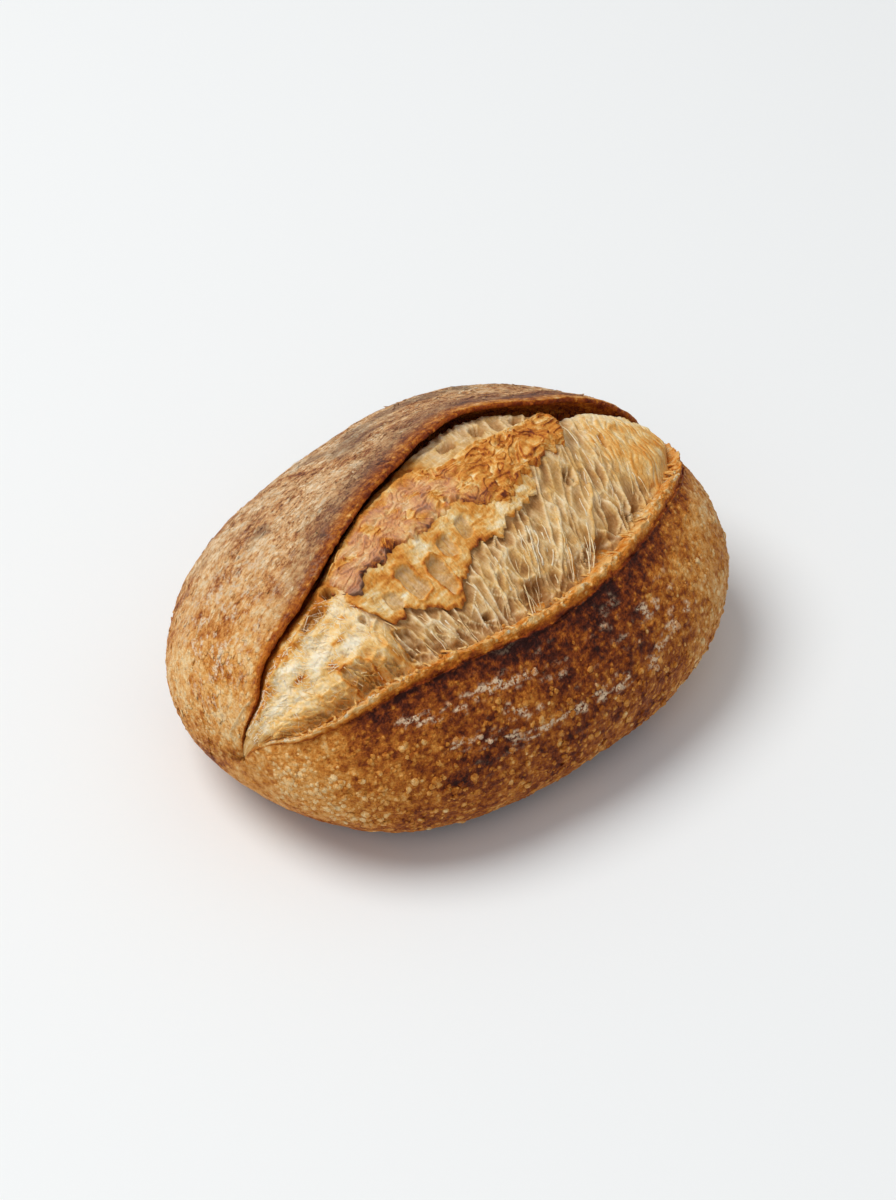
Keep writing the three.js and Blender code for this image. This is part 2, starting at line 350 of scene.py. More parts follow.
# the browned crust: heights and insideDepth in mm, baseEdge in degrees, far and near in mesh steps
crust = {
    "tipGap": 0.002,
    "baseEdge": 38.0,
    "coarse": 0.3,
    "streakHeight": 0.12,
    "tear": 0.45,
    "insideDepth": 14.0,
    # how dark it is baked: near wall, -X tip, +X end, far side low down and high up
    "nearBake": 0.62,
    "tipBake": 0.31,
    "endBake": 0.3,
    "lowFarBake": 0.43,
    "highFarBake": 0.31,
    "far": {"stations": 400, "under": 24, "edge": 8, "top": 66, "side": 112, "base": 5, "inside": 5},
    "near": {"stations": 470, "base": 5, "wall": 128, "rim": 56, "channel": 6, "inside": 5},
    # flour left by the proofing cloth, as lines of [along, around], and dark scorched spots
    "flourLines": [
        [[0.286, 24.0], [0.342, 20.7], [0.38, 16.4], [0.435, 16.6], [0.478, 15.9], [0.508, 14.9]],
        [[0.253, 38.0], [0.305, 35.2], [0.36, 35.9], [0.418, 32.5]],
        [[0.637, 21.7], [0.609, 22.2], [0.585, 19.7], [0.564, 16.0], [0.545, 13.9]],
        [[0.56, 29.5], [0.585, 28.5]],
        [[0.366, 27.0], [0.39, 22.5]],
    ],
    "peelLine": [[0.118, 84.0], [0.103, 86.0], [0.086, 91.0], [0.063, 97.0], [0.046, 106.0],
                 [0.03, 116.0]],
    "scorches": [[0.347, 17.2], [0.309, 14.3], [0.271, 10.5], [0.452, 33.5], [0.5, 30.4],
                 [0.539, 20.6], [0.424, 10.0], [0.344, 124.0], [0.327, 125.0], [0.532, 129.0],
                 [0.61, 133.0], [0.56, 150.0]],
}


def nearLines(flow, lines):
    # the way in mm from each point to the nearest of several lines of [along, around]
    nearest = np.full(flow.shape[:-1], 99.0)
    for line in lines:
        path = flowOf(*np.array(line, float).T)[:, :2]
        for p, q in zip(path[:-1], path[1:]):
            rows = np.abs(flow[..., 0] - (p[0] + q[0]) / 2) < abs(q[0] - p[0]) / 2 + 12
            local = flow[rows][:, :2]
            t = np.clip((local - p) @ (q - p) / ((q - p) @ (q - p)), 0, 1)
            away = np.linalg.norm(local - p - t[:, None] * (q - p), axis=1)
            nearest[rows] = np.minimum(nearest[rows], away)
    return nearest


def peelOf(flow):
    # the lifted edge of the thin skin that peels from the score's -X end
    return np.exp(-(nearLines(flow, [crust["peelLine"]]) / 0.8) ** 2)


def crustRelief(along, around, point):
    flow = flowOf(along, around)
    far = smooth(80, 100, around) * (1 - smooth(225, 250, around))
    broad = 0.45 * noise(point, 9.0, 2)
    coarse = crust["coarse"] * noise(point, 2.0, 2, 3.1)
    drawn = flow + 0.8 * noise(flow, 3.0, 1, 2.5)[..., None]
    edge, name = cells(drawn[..., 0] / 5.5, drawn[..., 1] / 1.5, 91)
    flakes = crust["streakHeight"] * (smooth(0.02, 0.3, edge) * (0.3 + name) - 0.4)
    edge, name = cells(point[..., 0] / 2.6 + point[..., 1] / 9, point[..., 2] / 2.4, 37)
    domes = 0.3 * (np.sqrt(smooth(0.0, 0.5, edge)) * smooth(0.35, 0.6, name) - 0.3)
    return broad + mix(coarse + domes, 0.4 * coarse + flakes, far) + 0.9 * peelOf(flow)


def row(count, first=0, extra=0):
    # even steps from 0 to 1 as one row; first starts it later and extra ends it sooner
    return ((np.arange(count) + first) / (count + extra))[None]


def farSection(along, count):
    # around and lift for each station (rows) and each place in the cross-section (columns):
    # from the crease under the ear, out over the lip, down the far side to under the base
    a = along[:, None]
    opening, lip, crease = openness(a), lipAround(a), creaseAround(a)
    lift = earLift(a)
    thickness = score["earThickness"] * (0.3 + 0.7 * opening)

    t = row(count["under"])
    under = mix(crease, lip, t), mix(-score["creaseDepth"] * opening, lift - thickness, np.sqrt(t))

    turn = np.linspace(-90, 90, count["edge"])[None]
    reach = 0.7 * np.cos(np.radians(turn)) * (0.4 + 0.6 * opening)
    edge = lip - reach, lift - thickness / 2 + thickness / 2 * np.sin(np.radians(turn))

    t = row(count["top"], 1)
    curl = 0.2 * opening * np.exp(-t * 14)
    top = lip + score["earRoot"] * t ** 1.4, lift * (1 - smooth(0, 1, t)) + curl

    t = row(count["side"], 1)
    side = mix(lip + score["earRoot"], 270 - crust["baseEdge"], t), 0 * a * t
    t = row(count["base"], 1)
    base = 270 - crust["baseEdge"] * (1 - t) + 0 * a, 0 * a * t
    t = row(count["inside"], 1, 1)
    inside = mix(270, 360 + crease, t), -crust["insideDepth"] * opening - 4 + 0 * t
    return joined([under, edge, top, side, base, inside])


def nearSection(along, count):
    # from under the base up the near side, over the torn rim and back beneath the bloom
    a = along[:, None]
    opening, crease, rim = openness(a), creaseAround(a), rimAround(a)
    t = row(count["base"])
    base = 270 + crust["baseEdge"] * t + 0 * a, 0 * a * t
    foot = 360 + rim - score["rimWidth"] - 0.7
    t = row(count["wall"])
    wall = mix(270 + crust["baseEdge"], foot, t), 0 * a * t

    # the skin's curled edge, a groove, the torn slope, its crest and the inner face
    t = row(count["rim"])
    pace = paceOf(a)
    crest = smooth(0.5, 0.82, t) * (1 - smooth(0.92, 1.0, t))
    ragged = flatNoise(pace, 1.4, 8) + 0.8 * flatNoise(pace, 5.0, 9)
    slope = foot + np.interp(t, score["rimPlaces"], score["rimOffsets"]) + 0.9 * ragged * crest * opening
    slope = slope + 0.8 * flatNoise(pace, 7.0, 12) * smooth(0.1, 0.3, t) * opening
    swell = opening * np.interp(t, score["rimPlaces"], score["rimHeights"])
    swell = swell * (1 + 0.35 * flatNoise(pace, 9.0, 13))
    swell = swell * mix(smooth(0.14, 0.32, a), 1, smooth(0.24, 0.3, t))
    swell = swell + opening * crest * (1.2 * flatNoise(pace, 2.2, 10) + 0.7 * flatNoise(pace, 0.9, 11))

    t = row(count["channel"], 0.5)
    channel = mix(360 + rim + 2.2, 360 + crease - 2, t), -score["channelDepth"] * opening - 0.5 + 0 * t
    t = row(count["inside"], 1, 1)
    inside = mix(360 + crease, 630, t), -crust["insideDepth"] * opening - 4 + 0 * t
    return joined([base, wall, (slope, swell), channel, inside])


def joined(parts):
    # the stretches of a cross-section side by side, and which stretch each column is in
    zones = np.concatenate([np.full(part[0].shape[1], i) for i, part in enumerate(parts)])
    around = np.concatenate([part[0] for part in parts], axis=1)
    lift = np.concatenate([part[1] + 0 * part[0] for part in parts], axis=1)
    return around, lift, zones


def skinMasks(a, around, point):
    # bake: how dark it is baked, with painted shade along the base; far: the rosier far side; flour:
    # dusted; smudge: soot-grey
    wrapped = np.where(around > 270, around - 360, around)
    flow = flowOf(a, wrapped)
    opening, rim, lip = openness(a), rimAround(a), lipSmooth(a)
    patches = noise(point, 11.0, 2, 9.3)
    blotches = noise(point, 4.5, 2, 4.4)
    scorch = np.exp(-(nearLines(flow, [[spot, [spot[0] + 0.01, spot[1]]] for spot in
                                       crust["scorches"]]) / 6.0) ** 2)

    # the far side's look fades in behind the ear, and more slowly round the +X end
    fadeWidth = mix(6, 85, smooth(0.76, 0.96, a))
    farSide = smooth(0, 1, (around - lip - 1) / fadeWidth) * (1 - smooth(226, 262, around))
    far = farSide * smooth(0.1, 0.42, a) * mix(1, 0.55, smooth(0.86, 1, a))
    upper = 1 - smooth(140, 195, around + 8 * patches)
    far = far * mix(0.4, 1, upper)
    fromRim = rim - score["rimWidth"] + 1.0 - wrapped

    nearBake = crust["nearBake"] + 0.12 * patches + 0.08 * blotches - 0.3 * smooth(0.55, 0.7, a)
    fold = 0.2 * bell(fromRim, 1.5, 1.3) + 0.2 * bell(fromRim, 4.5, 4.5)
    nearBake = nearBake + fold * opening * smooth(0.1, 0.3, a)
    nearBake = nearBake - 0.22 * (1 - smooth(2, 26, point[..., 2])) + 0.16 * scorch
    tipBake = crust["tipBake"] + 0.08 * patches + 0.08 * blotches
    endBake = crust["endBake"] + 0.08 * patches + 0.06 * blotches
    nearBake = mix(nearBake, tipBake, 1 - smooth(0.06, 0.26, a))
    nearBake = mix(nearBake, endBake, smooth(0.72, 0.92, a))
    # painted shade: the near wall darkens over its lowest 13 mm, next to the floor
    nearBake = nearBake + 0.5 * (1 - smooth(3, 13, point[..., 2]))

    farBakeAndShade = mix(crust["lowFarBake"], crust["highFarBake"], upper) + 0.2 * patches + 0.16 * blotches
    farBakeAndShade = farBakeAndShade + 0.24 * bell(around - lip, 0, 8) * smooth(0.2, 0.4, a)
    farBakeAndShade = farBakeAndShade + 0.12 * smooth(0.45, 0.7, a) * bell(around - lip, 0, 30)
    farBakeAndShade = farBakeAndShade - 0.05 * (1 - smooth(0.14, 0.36, a))
    # painted shade: the far side darkens over its lowest 6 mm, next to the floor; the peeled edge is paler
    farBakeAndShade = farBakeAndShade + 0.3 * (1 - smooth(0.5, 6, point[..., 2])) - 0.26 * peelOf(flow)
    bake = mix(nearBake, farBakeAndShade, farSide)

    # flour sits in clumps a few mm long, so its lines are broken
    strip = nearLines(flow, crust["flourLines"]) + 2.0 * noise(flow, 2.6, 2, 2.2)
    clump = smooth(-0.1, 0.4, noise(flow, (2.6, 1.1, 1.0), 2, 8.2))
    flour = 1.25 * (1 - smooth(1.2, 4.2, strip)) * clump
    streak = noise(flow, (7.0, 2.0, 1.0), 2, 2.2)
    cloth = smooth(0.3, 0.9, streak + 0.5 * patches) * bell(wrapped, 26, 14) * clump
    flour = np.maximum(flour, 0.7 * cloth * smooth(0.22, 0.4, a) * (1 - smooth(0.82, 0.95, a)))
    farFlour = smooth(0.15, 0.4, noise(flow, (2.3, 1.9, 1.0), 3, 5.2) + 0.3 * blotches)
    flour = np.maximum(flour, 1.6 * farFlour * bell(around, 122, 24) * bell(a, 0.2, 0.13))
    flour = np.maximum(flour, 0.5 * (1 - smooth(0.3, 2.5, point[..., 2])))
    smudge = upper * far * smooth(0.3, 0.8, noise(point, 14.0, 2, 1.7) + 0.25 * blotches + scorch)
    band = bell(around - lip, 4, 8) * smooth(0.14, 0.3, a) * (1 - smooth(0.66, 0.8, a))
    smudge = np.maximum(smudge, far * band * (1.0 + 0.4 * patches)).clip(0, 1.5)
    flow = flowOf(a, around)
    return {"bake": bake, "far": far, "flour": flour, "smudge": smudge, "flow": flow}


def farMasks(a, around, zones, point):
    masks = skinMasks(a, around, point)
    lip = lipAround(a)
    blotches = noise(point, 2.5, 2, 4.4)
    torn = (zones <= 1)[None] * smooth(0.02, 0.05, openness(a))
    torn = torn * mix(1, smooth(0.3, 0.9, (lip - around) + 0.5), (zones == 1)[None])
    inner = smooth(0.46, 0.6, a) * smooth(0.6, 3, around - lip)
    # the ear's underside is toasted crumb darkened with painted shade from the ear, a little paler towards
    # the -X end
    bake = mix(0.7, 0.6, inner) + 0.16 * blotches
    bake = mix(bake, 0.58 + 0.1 * blotches, 1 - smooth(0.15, 0.34, a))
    # the thin edge of the ear glows orange near its -X end
    glow = 0.85 * bell(around - lip, 0, 2.6) * bell(a, 0.17, 0.09) * (zones >= 1)[None]
    return tearMasks(masks, np.maximum(torn, glow), bake)


def nearMasks(a, around, zones, point):
    masks = skinMasks(a, around, point)
    blotches = noise(point, 2.5, 2, 4.4)
    ragged = around - 360 - rimAround(a) + 0.6 * noise(point, 1.8, 2, 8.8)
    slope = (zones == 2)[None] * smooth(-3.0, -2.6, ragged) * smooth(0.1, 0.4, openness(a))
    # from wine-dark at the fold through caramel to a bright golden crest
    bake = mix(0.63, 0.29, smooth(-2.8, 0.2, ragged)) + 0.14 * blotches
    bake = bake + 0.1 * noise(point, 9.0, 2, 5.5) + 0.12 * bell(ragged, -3.0, 0.7)
    bake = bake - 0.12 * (1 - smooth(0.12, 0.3, a))
    return tearMasks(masks, np.maximum(slope, (zones >= 3)[None]), bake)


def tearMasks(masks, torn, bake):
    # torn: bare crumb, on the rim's slope and under the ear
    masks["bake"] = mix(masks["bake"], bake, torn)
    masks["flour"] = masks["flour"] * (1 - torn)
    masks["smudge"] = masks["smudge"] * (1 - torn)
    masks["torn"] = torn
    return masks


def sheetsOf(tree, names, stretch):
    # the object's own coordinates, the piece's masks, and its flow drawn out by stretch
    place = addNode(tree, "TexCoord").outputs["Object"]
    sheet = {name: addNode(tree, "Attribute", {"attribute_name": name}).outputs["Fac"] for name in names}
    flow = addNode(tree, "Attribute", {"attribute_name": "flow"}).outputs["Vector"]
    return place, sheet, addNode(tree, "VectorMath", {"operation": "MULTIPLY"}, {0: flow, 1: stretch})


def bakedSkinMaterial():
    # baked dough skin: dry and matt where floured, with a faint glaze where it blistered brown
    material, tree = newMaterial("bakedDoughSkin")
    place, sheet, drawn = sheetsOf(tree, ("bake", "far", "torn", "flour", "smudge"), (0.42, 1, 1))
    # wisps about 0.8 mm wide and 2 mm long, mottling of 1 to 2 mm, skin grain of 0.5 mm
    wisps = addNode(tree, "TexNoise", {}, {"Vector": drawn, "Scale": 0.7, "Detail": 6, "Roughness": 0.72})
    mottle = addNode(tree, "TexNoise", {}, {"Vector": place, "Scale": 300, "Detail": 6, "Roughness": 0.68})
    grain = addNode(tree, "TexNoise", {}, {"Vector": place, "Scale": 1100, "Detail": 2})
    # dark hairline cracks 3 mm apart and pale flake edges 2 mm apart, drawn out along the loaf
    lines = []
    for scale, width in ((0.3, 0.022), (0.5, 0.018)):
        waver = addNode(tree, "TexNoise", {}, {"Vector": drawn, "Scale": scale, "Detail": 3,
                                               "Roughness": 0.6})
        line = addNode(tree, "Math", {"operation": "SUBTRACT"}, {0: waver, 1: 0.5})
        line = addNode(tree, "Math", {"operation": "ABSOLUTE"}, {0: line})
        line = addNode(tree, "MapRange", {}, {"Value": line, "From Min": 0.0, "From Max": width,
                                              "To Min": 1.0, "To Max": 0.0})
        lines.append(addNode(tree, "Math", {"operation": "MULTIPLY"}, {0: line, 1: sheet["far"]}))
    crack, flakeEdge = lines
    # blisters 2 mm apart, on a wavering grid so that none is round
    sway = addNode(tree, "VectorMath", {"operation": "MULTIPLY_ADD"},
                   {0: mottle.outputs["Color"], 1: (0.0016, 0.0016, 0.0016), 2: place})
    blister = addNode(tree, "TexVoronoi", {"feature": "F1"}, {"Vector": sway, "Scale": 480})
    dome = addNode(tree, "MapRange", {}, {"Value": blister.outputs["Distance"], "From Min": 0.1,
                                          "From Max": 0.62, "To Min": 1.0, "To Max": 0.0})
    each = addNode(tree, "SeparateColor", {}, {"Color": blister.outputs["Color"]})
    pale = addNode(tree, "MapRange", {}, {"Value": each.outputs["Red"], "From Min": 0.45, "From Max": 0.9})
    proud = addNode(tree, "Math", {"operation": "MULTIPLY"}, {0: dome, 1: pale})

    # how far each pattern moves the bake, painted shade included: on the near wall, the far side, bare
    # tears and soot
    pulls = []
    for pattern, near, far, sooty, torn in ((wisps, 0.35, 1.3, 0.6, 0.6), (mottle, 1.3, 1.45, 0.7, 0.5)):
        pull = near
        for name, value in (("far", far), ("smudge", sooty), ("torn", torn)):
            pull = addNode(tree, "Mix", {"data_type": "FLOAT"}, {"Factor": sheet[name], "A": pull,
                                                                 "B": value})
        pulls.append((addNode(tree, "Math", {"operation": "SUBTRACT"}, {0: pattern, 1: 0.5}), pull))
    blisterPull = addNode(tree, "Mix", {"data_type": "FLOAT"}, {"Factor": sheet["far"], "A": -0.3,
                                                                "B": -0.1})
    depth = sheet["bake"]
    for pattern, share in ((grain, 0.2), *pulls, (proud, blisterPull), (crack, 0.34),
                           (flakeEdge, -0.2), (1.0, -0.07)):
        depth = addNode(tree, "Math", {"operation": "MULTIPLY_ADD"}, {0: pattern, 1: share, 2: depth})

    amber = addNode(tree, "ValToRGB", {"stops": [
        (0.0, "#f8d398"), (0.2, "#ebb064"), (0.38, "#d68b36"), (0.54, "#b26319"),
        (0.7, "#863c09"), (0.85, "#581f06"), (1.0, "#300b03")]}, {"Fac": depth})
    rosy = addNode(tree, "ValToRGB", {"stops": [
        (0.0, "#ffe6c2"), (0.2, "#f4c892"), (0.4, "#dba168"), (0.55, "#b87644"),
        (0.7, "#8e4e2c"), (0.85, "#5e2f1e"), (1.0, "#341610")]}, {"Fac": depth})
    golden = addNode(tree, "ValToRGB", {"stops": [
        (0.0, "#fff0cc"), (0.2, "#f6c478"), (0.4, "#e08b2c"), (0.58, "#bb6214"),
        (0.74, "#8c3a0b"), (0.88, "#5f1d08"), (1.0, "#3c1005")]}, {"Fac": depth})
    soot = addNode(tree, "Math", {"operation": "MULTIPLY"}, {0: sheet["smudge"], 1: mottle})
    powder = addNode(tree, "TexNoise", {}, {"Vector": place, "Scale": 700, "Detail": 3, "Roughness": 0.7})
    powder = addNode(tree, "MapRange", {}, {"Value": powder, "From Min": 0.42, "From Max": 0.56})
    powder = addNode(tree, "Math", {"operation": "MULTIPLY"}, {0: powder, 1: sheet["flour"]})
    skin = amber
    for share, over in ((sheet["far"], rosy), (sheet["torn"], golden), (soot, hexColour("#6b5850")),
                        (powder, hexColour("#edcfaa"))):
        skin = addNode(tree, "Mix", {"data_type": "RGBA"}, {"Factor": share, "A": skin, "B": over})

    height = grain
    for pattern, share in ((wisps, 0.3), (mottle, 1.1), (proud, 0.7), (crack, -0.3), (flakeEdge, 0.25)):
        height = addNode(tree, "Math", {"operation": "MULTIPLY_ADD"}, {0: pattern, 1: share, 2: height})
    bump = addNode(tree, "Bump", {}, {"Strength": 1.0, "Distance": 0.0011, "Height": height})
    dull = addNode(tree, "MapRange", {}, {"Value": mottle, "From Min": 0.3, "From Max": 0.7,
                                          "To Min": 0.46, "To Max": 0.66})
    dull = addNode(tree, "Math", {"operation": "MULTIPLY_ADD"}, {0: sheet["far"], 1: 0.14, 2: dull})
    shader = addNode(tree, "BsdfPrincipled", {}, {
        "Base Color": skin, "Roughness": dull, "IOR": 1.45, "Normal": bump,
        "Specular IOR Level": 0.2})
    addNode(tree, "OutputMaterial", {}, {"Surface": shader})
    return material


def makeCrust(material):
    for side, section, paint, tornZone in (("far", farSection, farMasks, 0),
                                           ("near", nearSection, nearMasks, 2)):
        along = evenStations(crust[side]["stations"], crust["tipGap"])
        around, lift, zones = section(along, crust[side])
        a = along[:, None] + 0 * around
        bare = bodyPoint(a, around)
        inside = np.isin(zones, (5,) if side == "far" else (3, 4))
        fibrous = noise(flowOf(a, around), (3.6, 0.9, 1.0), 3, 6.6)
        tear = crust["tear"] * fibrous * (zones == tornZone)[None] * openness(a)
        relief = crustRelief(a, around, bare) * (~inside)[None]
        points = loafPoint(a, around, lift + relief + tear)
        masks = paint(a, around, zones, points)
        masks = {name: withEnds(values + 0 * (around if values.ndim == 2 else around[..., None]))
                 for name, values in masks.items()}
        piece = makePiece(side + "Crust", withEnds(points), loftFaces(*around.shape), masks, material)
        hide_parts("loaf")


# the risen crumb in the score: lines of [along, around], only skinLine of [around, along];
# capStep, skinStep and lifts in mm, pastRim and pastCrease in degrees
bloom = {
    "stations": 720,
    "steps": 134,
    "tipGap": 0.006,
    "pastRim": 0.4,
    "pastCrease": 1.5,
    "capLine": [[0.3, 84], [0.315, 76.5], [0.33, 77.5], [0.345, 80.5], [0.4, 79.5], [0.49, 79],
                [0.51, 75], [0.53, 71.5], [0.555, 75], [0.6, 76], [0.65, 78], [0.68, 84], [0.7, 90]],
    "terraceLine": [[0.3, 76], [0.313, 69], [0.335, 63.7], [0.341, 63.3], [0.347, 65.4],
                    [0.373, 62.5], [0.388, 59.6], [0.403, 59.4], [0.42, 62.2], [0.442, 67],
                    [0.47, 68.2], [0.53, 68.6], [0.558, 70], [0.59, 75]],
    "skinLine": [[46, 0.735], [52, 0.72], [58, 0.702], [61.5, 0.704], [65, 0.69], [71, 0.688],
                 [76, 0.7], [84, 0.72], [100, 0.74]],
    "capStep": 3.4,
    "skinStep": 0.6,
    "edgeLift": -4.6,
    "hollowLift": -1.8,
    "moundLift": 2.2,
    # hollow cells: along, around, half-sizes in mm lengthwise and crosswise, depth
    "hollows": [
        [0.246, 57.5, 5.4, 8.5, 2.6], [0.285, 54, 3.2, 5.0, 1.8], [0.322, 58, 4.5, 7.0, 3.0],
        [0.205, 53.5, 4.6, 3.6, 1.5], [0.165, 53.5, 3.0, 3.0, 1.2], [0.255, 81.5, 6.4, 3.0, 3.4],
        [0.295, 84.5, 3.0, 3.6, 5.4], [0.621, 69.2, 3.3, 3.6, 3.4], [0.638, 67, 1.6, 3.6, 2.4],
        [0.48, 50, 5.0, 6.5, 3.2], [0.585, 49.5, 5.4, 5.0, 3.6], [0.66, 50, 5.4, 4.6, 3.4],
        [0.545, 98, 4.6, 3.0, 4.0], [0.59, 97, 3.8, 3.4, 4.4], [0.64, 93, 3.2, 3.4, 3.6],
        [0.414, 52.5, 1.5, 1.5, 2.8], [0.711, 72.5, 1.6, 3.6, 2.2],
    ],
    "rimOfHollow": 0.5,
    # nets of thin ridges round film: along range, cell length and width in mm, seed
    "nets": [(-0.1, 0.3, 4.2, 4.8, 11), (0.3, 0.455, 5.0, 10.0, 23), (0.455, 0.575, 7.5, 9.0, 31),
             (0.575, 1.1, 6.5, 15.0, 47)],
    "toastedSpots": [[[0.178, 70.5], [0.186, 70.3]], [[0.25, 70.6], [0.258, 70.2]],
                     [[0.279, 75.8], [0.284, 75]], [[0.225, 66], [0.232, 63]]],
    # strands laid one by one: knots of [along, around], height, half-width in mm, toast
    "strands": [
        ([[0.493, 44.5], [0.545, 56.7], [0.564, 61.2], [0.576, 64.5], [0.569, 68]], 2.2, 1.0, 0.1),
        ([[0.518, 44], [0.532, 47.8], [0.545, 53], [0.553, 57]], 1.9, 0.8, 0.5),
        ([[0.64, 66], [0.624, 62], [0.606, 59], [0.598, 56.2], [0.589, 53.9], [0.568, 49.6]],
         2.0, 0.9, 0.34),
        ([[0.633, 60], [0.638, 55.4], [0.63, 50.7], [0.622, 47]], 2.2, 0.8, 0.08),
        ([[0.668, 60], [0.661, 54.8], [0.651, 51.1], [0.63, 47.3]], 2.0, 0.7, 0.12),
        ([[0.593, 55.5], [0.611, 50], [0.622, 47]], 1.8, 0.5, 0.1),
        ([[0.621, 59.3], [0.619, 55.8], [0.606, 51.5]], 1.5, 0.6, 0.14),
        ([[0.705, 60], [0.699, 57.4], [0.692, 53.2], [0.671, 47.9]], 1.8, 0.8, 0.16),
        ([[0.725, 58], [0.718, 55.2], [0.699, 50.7], [0.69, 48.5]], 1.6, 0.7, 0.2),
        ([[0.313, 69], [0.302, 67.5], [0.29, 65.5]], 2.4, 0.7, 0.14),
        ([[0.317, 64], [0.314, 60.1], [0.317, 57], [0.322, 52]], 2.0, 0.8, 0.08),
        ([[0.346, 65], [0.348, 59.3], [0.352, 54.9], [0.357, 51]], 1.7, 0.6, 0.12),
        ([[0.34, 59.3], [0.342, 56.2], [0.344, 53]], 1.5, 0.6, 0.12),
        ([[0.38, 61], [0.379, 55.2], [0.382, 50]], 1.6, 0.6, 0.12),
        ([[0.362, 61], [0.363, 56.5], [0.368, 54], [0.378, 49.5]], 1.5, 0.6, 0.12),
        ([[0.288, 64], [0.293, 58.5], [0.298, 54.8], [0.304, 52], [0.309, 48.5]], 2.8, 1.8, 0.52),
        ([[0.235, 66.8], [0.248, 64.2], [0.258, 58]], 1.4, 0.7, 0.2),
        ([[0.46, 64], [0.447, 56.7], [0.443, 50]], 1.9, 0.9, 0.2),
        ([[0.41, 73.5], [0.393, 68.1], [0.384, 64]], 1.6, 0.7, 0.2),
        ([[0.456, 70], [0.437, 67.5], [0.42, 64.9], [0.399, 60]], 2.2, 0.8, 0.32),
        ([[0.5, 66], [0.47, 62], [0.45, 58.5]], 1.4, 0.6, 0.3),
    ],
    # strands laid at random along the pull of the dough: along range, around from top to
    # bottom, gap, height and half-width in mm, how often they branch, toast
    "strandFields": [
        (0.31, 0.47, 62.0, 48.0, 7.0, 1.7, 0.45, 0.9, 0.1),
        (0.45, 0.6, 72.0, 46.0, 9.0, 1.7, 0.45, 1.6, 0.14),
        (0.57, 0.72, 86.0, 48.0, 7.0, 1.9, 0.5, 0.8, 0.18),
        (0.08, 0.3, 63.0, 50.0, 3.4, 1.2, 0.5, 1.5, 0.4),
    ],
    # how far the pull of the dough leans lengthwise for each mm down
    "lean": [[0.1, 0.5], [0.3, 0.12], [0.38, 0.0], [0.46, -0.25], [0.55, -0.7], [0.62, -0.55],
             [0.72, -0.5]],
}
capSmooth = lineThrough(bloom["capLine"])
terraceSmooth = lineThrough(bloom["terraceLine"])
skinSmooth = lineThrough(bloom["skinLine"])
leanOf = lineThrough(bloom["lean"])


def capLength(along):
    return smooth(0.3, 0.325, along) * smooth(0.29, 0.33, 1 - along)


def terraceLength(along):
    return smooth(0.3, 0.318, along) * smooth(0.4, 0.43, 1 - along)


def membraneLength(along):
    return smooth(0.29, 0.33, along) * smooth(0.26, 0.31, 1 - along)


def strandPaths():
    # every strand as flow points, height, half-width and toast
    paths = [(flowOf(*np.array(knots, float).T)[:, :2], height, width, toast)
             for knots, height, width, toast in bloom["strands"]]
    dice = np.random.default_rng(21)
    for start, end, top, bottom, gap, height, width, branches, toast in bloom["strandFields"]:
        for pace in np.arange(*paceOf([start, end]), gap):
            size = dice.uniform(0.45, 1.0)
            begin = mmPerDegree * mix(top, mix(top, bottom, 0.5), dice.uniform(0, 1) ** 2)
            stop = mmPerDegree * mix(bottom, mix(bottom, top, 0.5), dice.uniform(0, 1) ** 2)
            walk(paths, dice, [pace + dice.uniform(-1, 1), begin], stop, size * height,
                 width * dice.uniform(0.7, 1.3), branches, toast + dice.uniform(-0.08, 0.08))
    return paths


def walk(paths, dice, point, stop, height, width, branches, toast, veer=0.0):
    # goes down the loaf in even steps, swaying, and sends out side branches
    path = [point]
    stepDown = 2.5
    while path[-1][1] > stop:
        pace, cross = path[-1]
        lean = leanOf(alongOf(pace)) + veer + dice.normal(0, 0.16)
        path.append([pace + stepDown * lean, cross - stepDown])
        if dice.uniform() < 0.16 * branches and veer == 0:
            sideways = dice.choice([-1, 1]) * dice.uniform(0.5, 1.3)
            low = max(stop, cross - dice.uniform(5, 14))
            walk(paths, dice, path[-1], low, 0.75 * height, 0.8 * width, 0, toast, sideways)
    if len(path) > 2:
        paths.append((np.array(path), height, width, toast))


def layStrands(flow, paths):
    # the film's height over the strands, how near a crest is, and its toast
    height = np.zeros(flow.shape[:2])
    crest = np.zeros(flow.shape[:2])
    tone = np.full(flow.shape[:2], 0.15)
    pace = flow[:, 0, 0]
    for path, tall, width, toast in paths:
        reach = 5 * width + 1
        count = len(path) - 1
        for i, (p, q) in enumerate(zip(path[:-1], path[1:])):
            rows = slice(*np.searchsorted(pace, [min(p[0], q[0]) - reach, max(p[0], q[0]) + reach]))
            if rows.stop <= rows.start:
                continue
            band = flow[rows, :, 1]
            low, high = min(p[1], q[1]) - reach, max(p[1], q[1]) + reach
            columns = np.nonzero(((band > low) & (band < high)).any(axis=0))[0]
            if not len(columns):
                continue
            block = (rows, slice(columns[0], columns[-1] + 1))
            local = flow[block][..., :2] - p
            t = np.clip(local @ (q - p) / ((q - p) @ (q - p)), 0, 1)
            away = np.linalg.norm(local - t[..., None] * (q - p), axis=-1)
            ends = smooth(-0.2, 0.6, i + t) * smooth(-0.2, 0.6, count - i - t)
            ridge = tall * ends * (0.6 * np.exp(-(away / (0.8 * width)) ** 2) +
                                   0.4 * np.exp(-away / (1.8 * width)))
            near = ends * np.exp(-(away / (0.75 * width)) ** 2)
            tone[block] = np.where(near > crest[block], toast, tone[block])
            crest[block] = np.maximum(crest[block], near)
            height[block] = np.maximum(height[block], ridge)
    return height, crest, tone


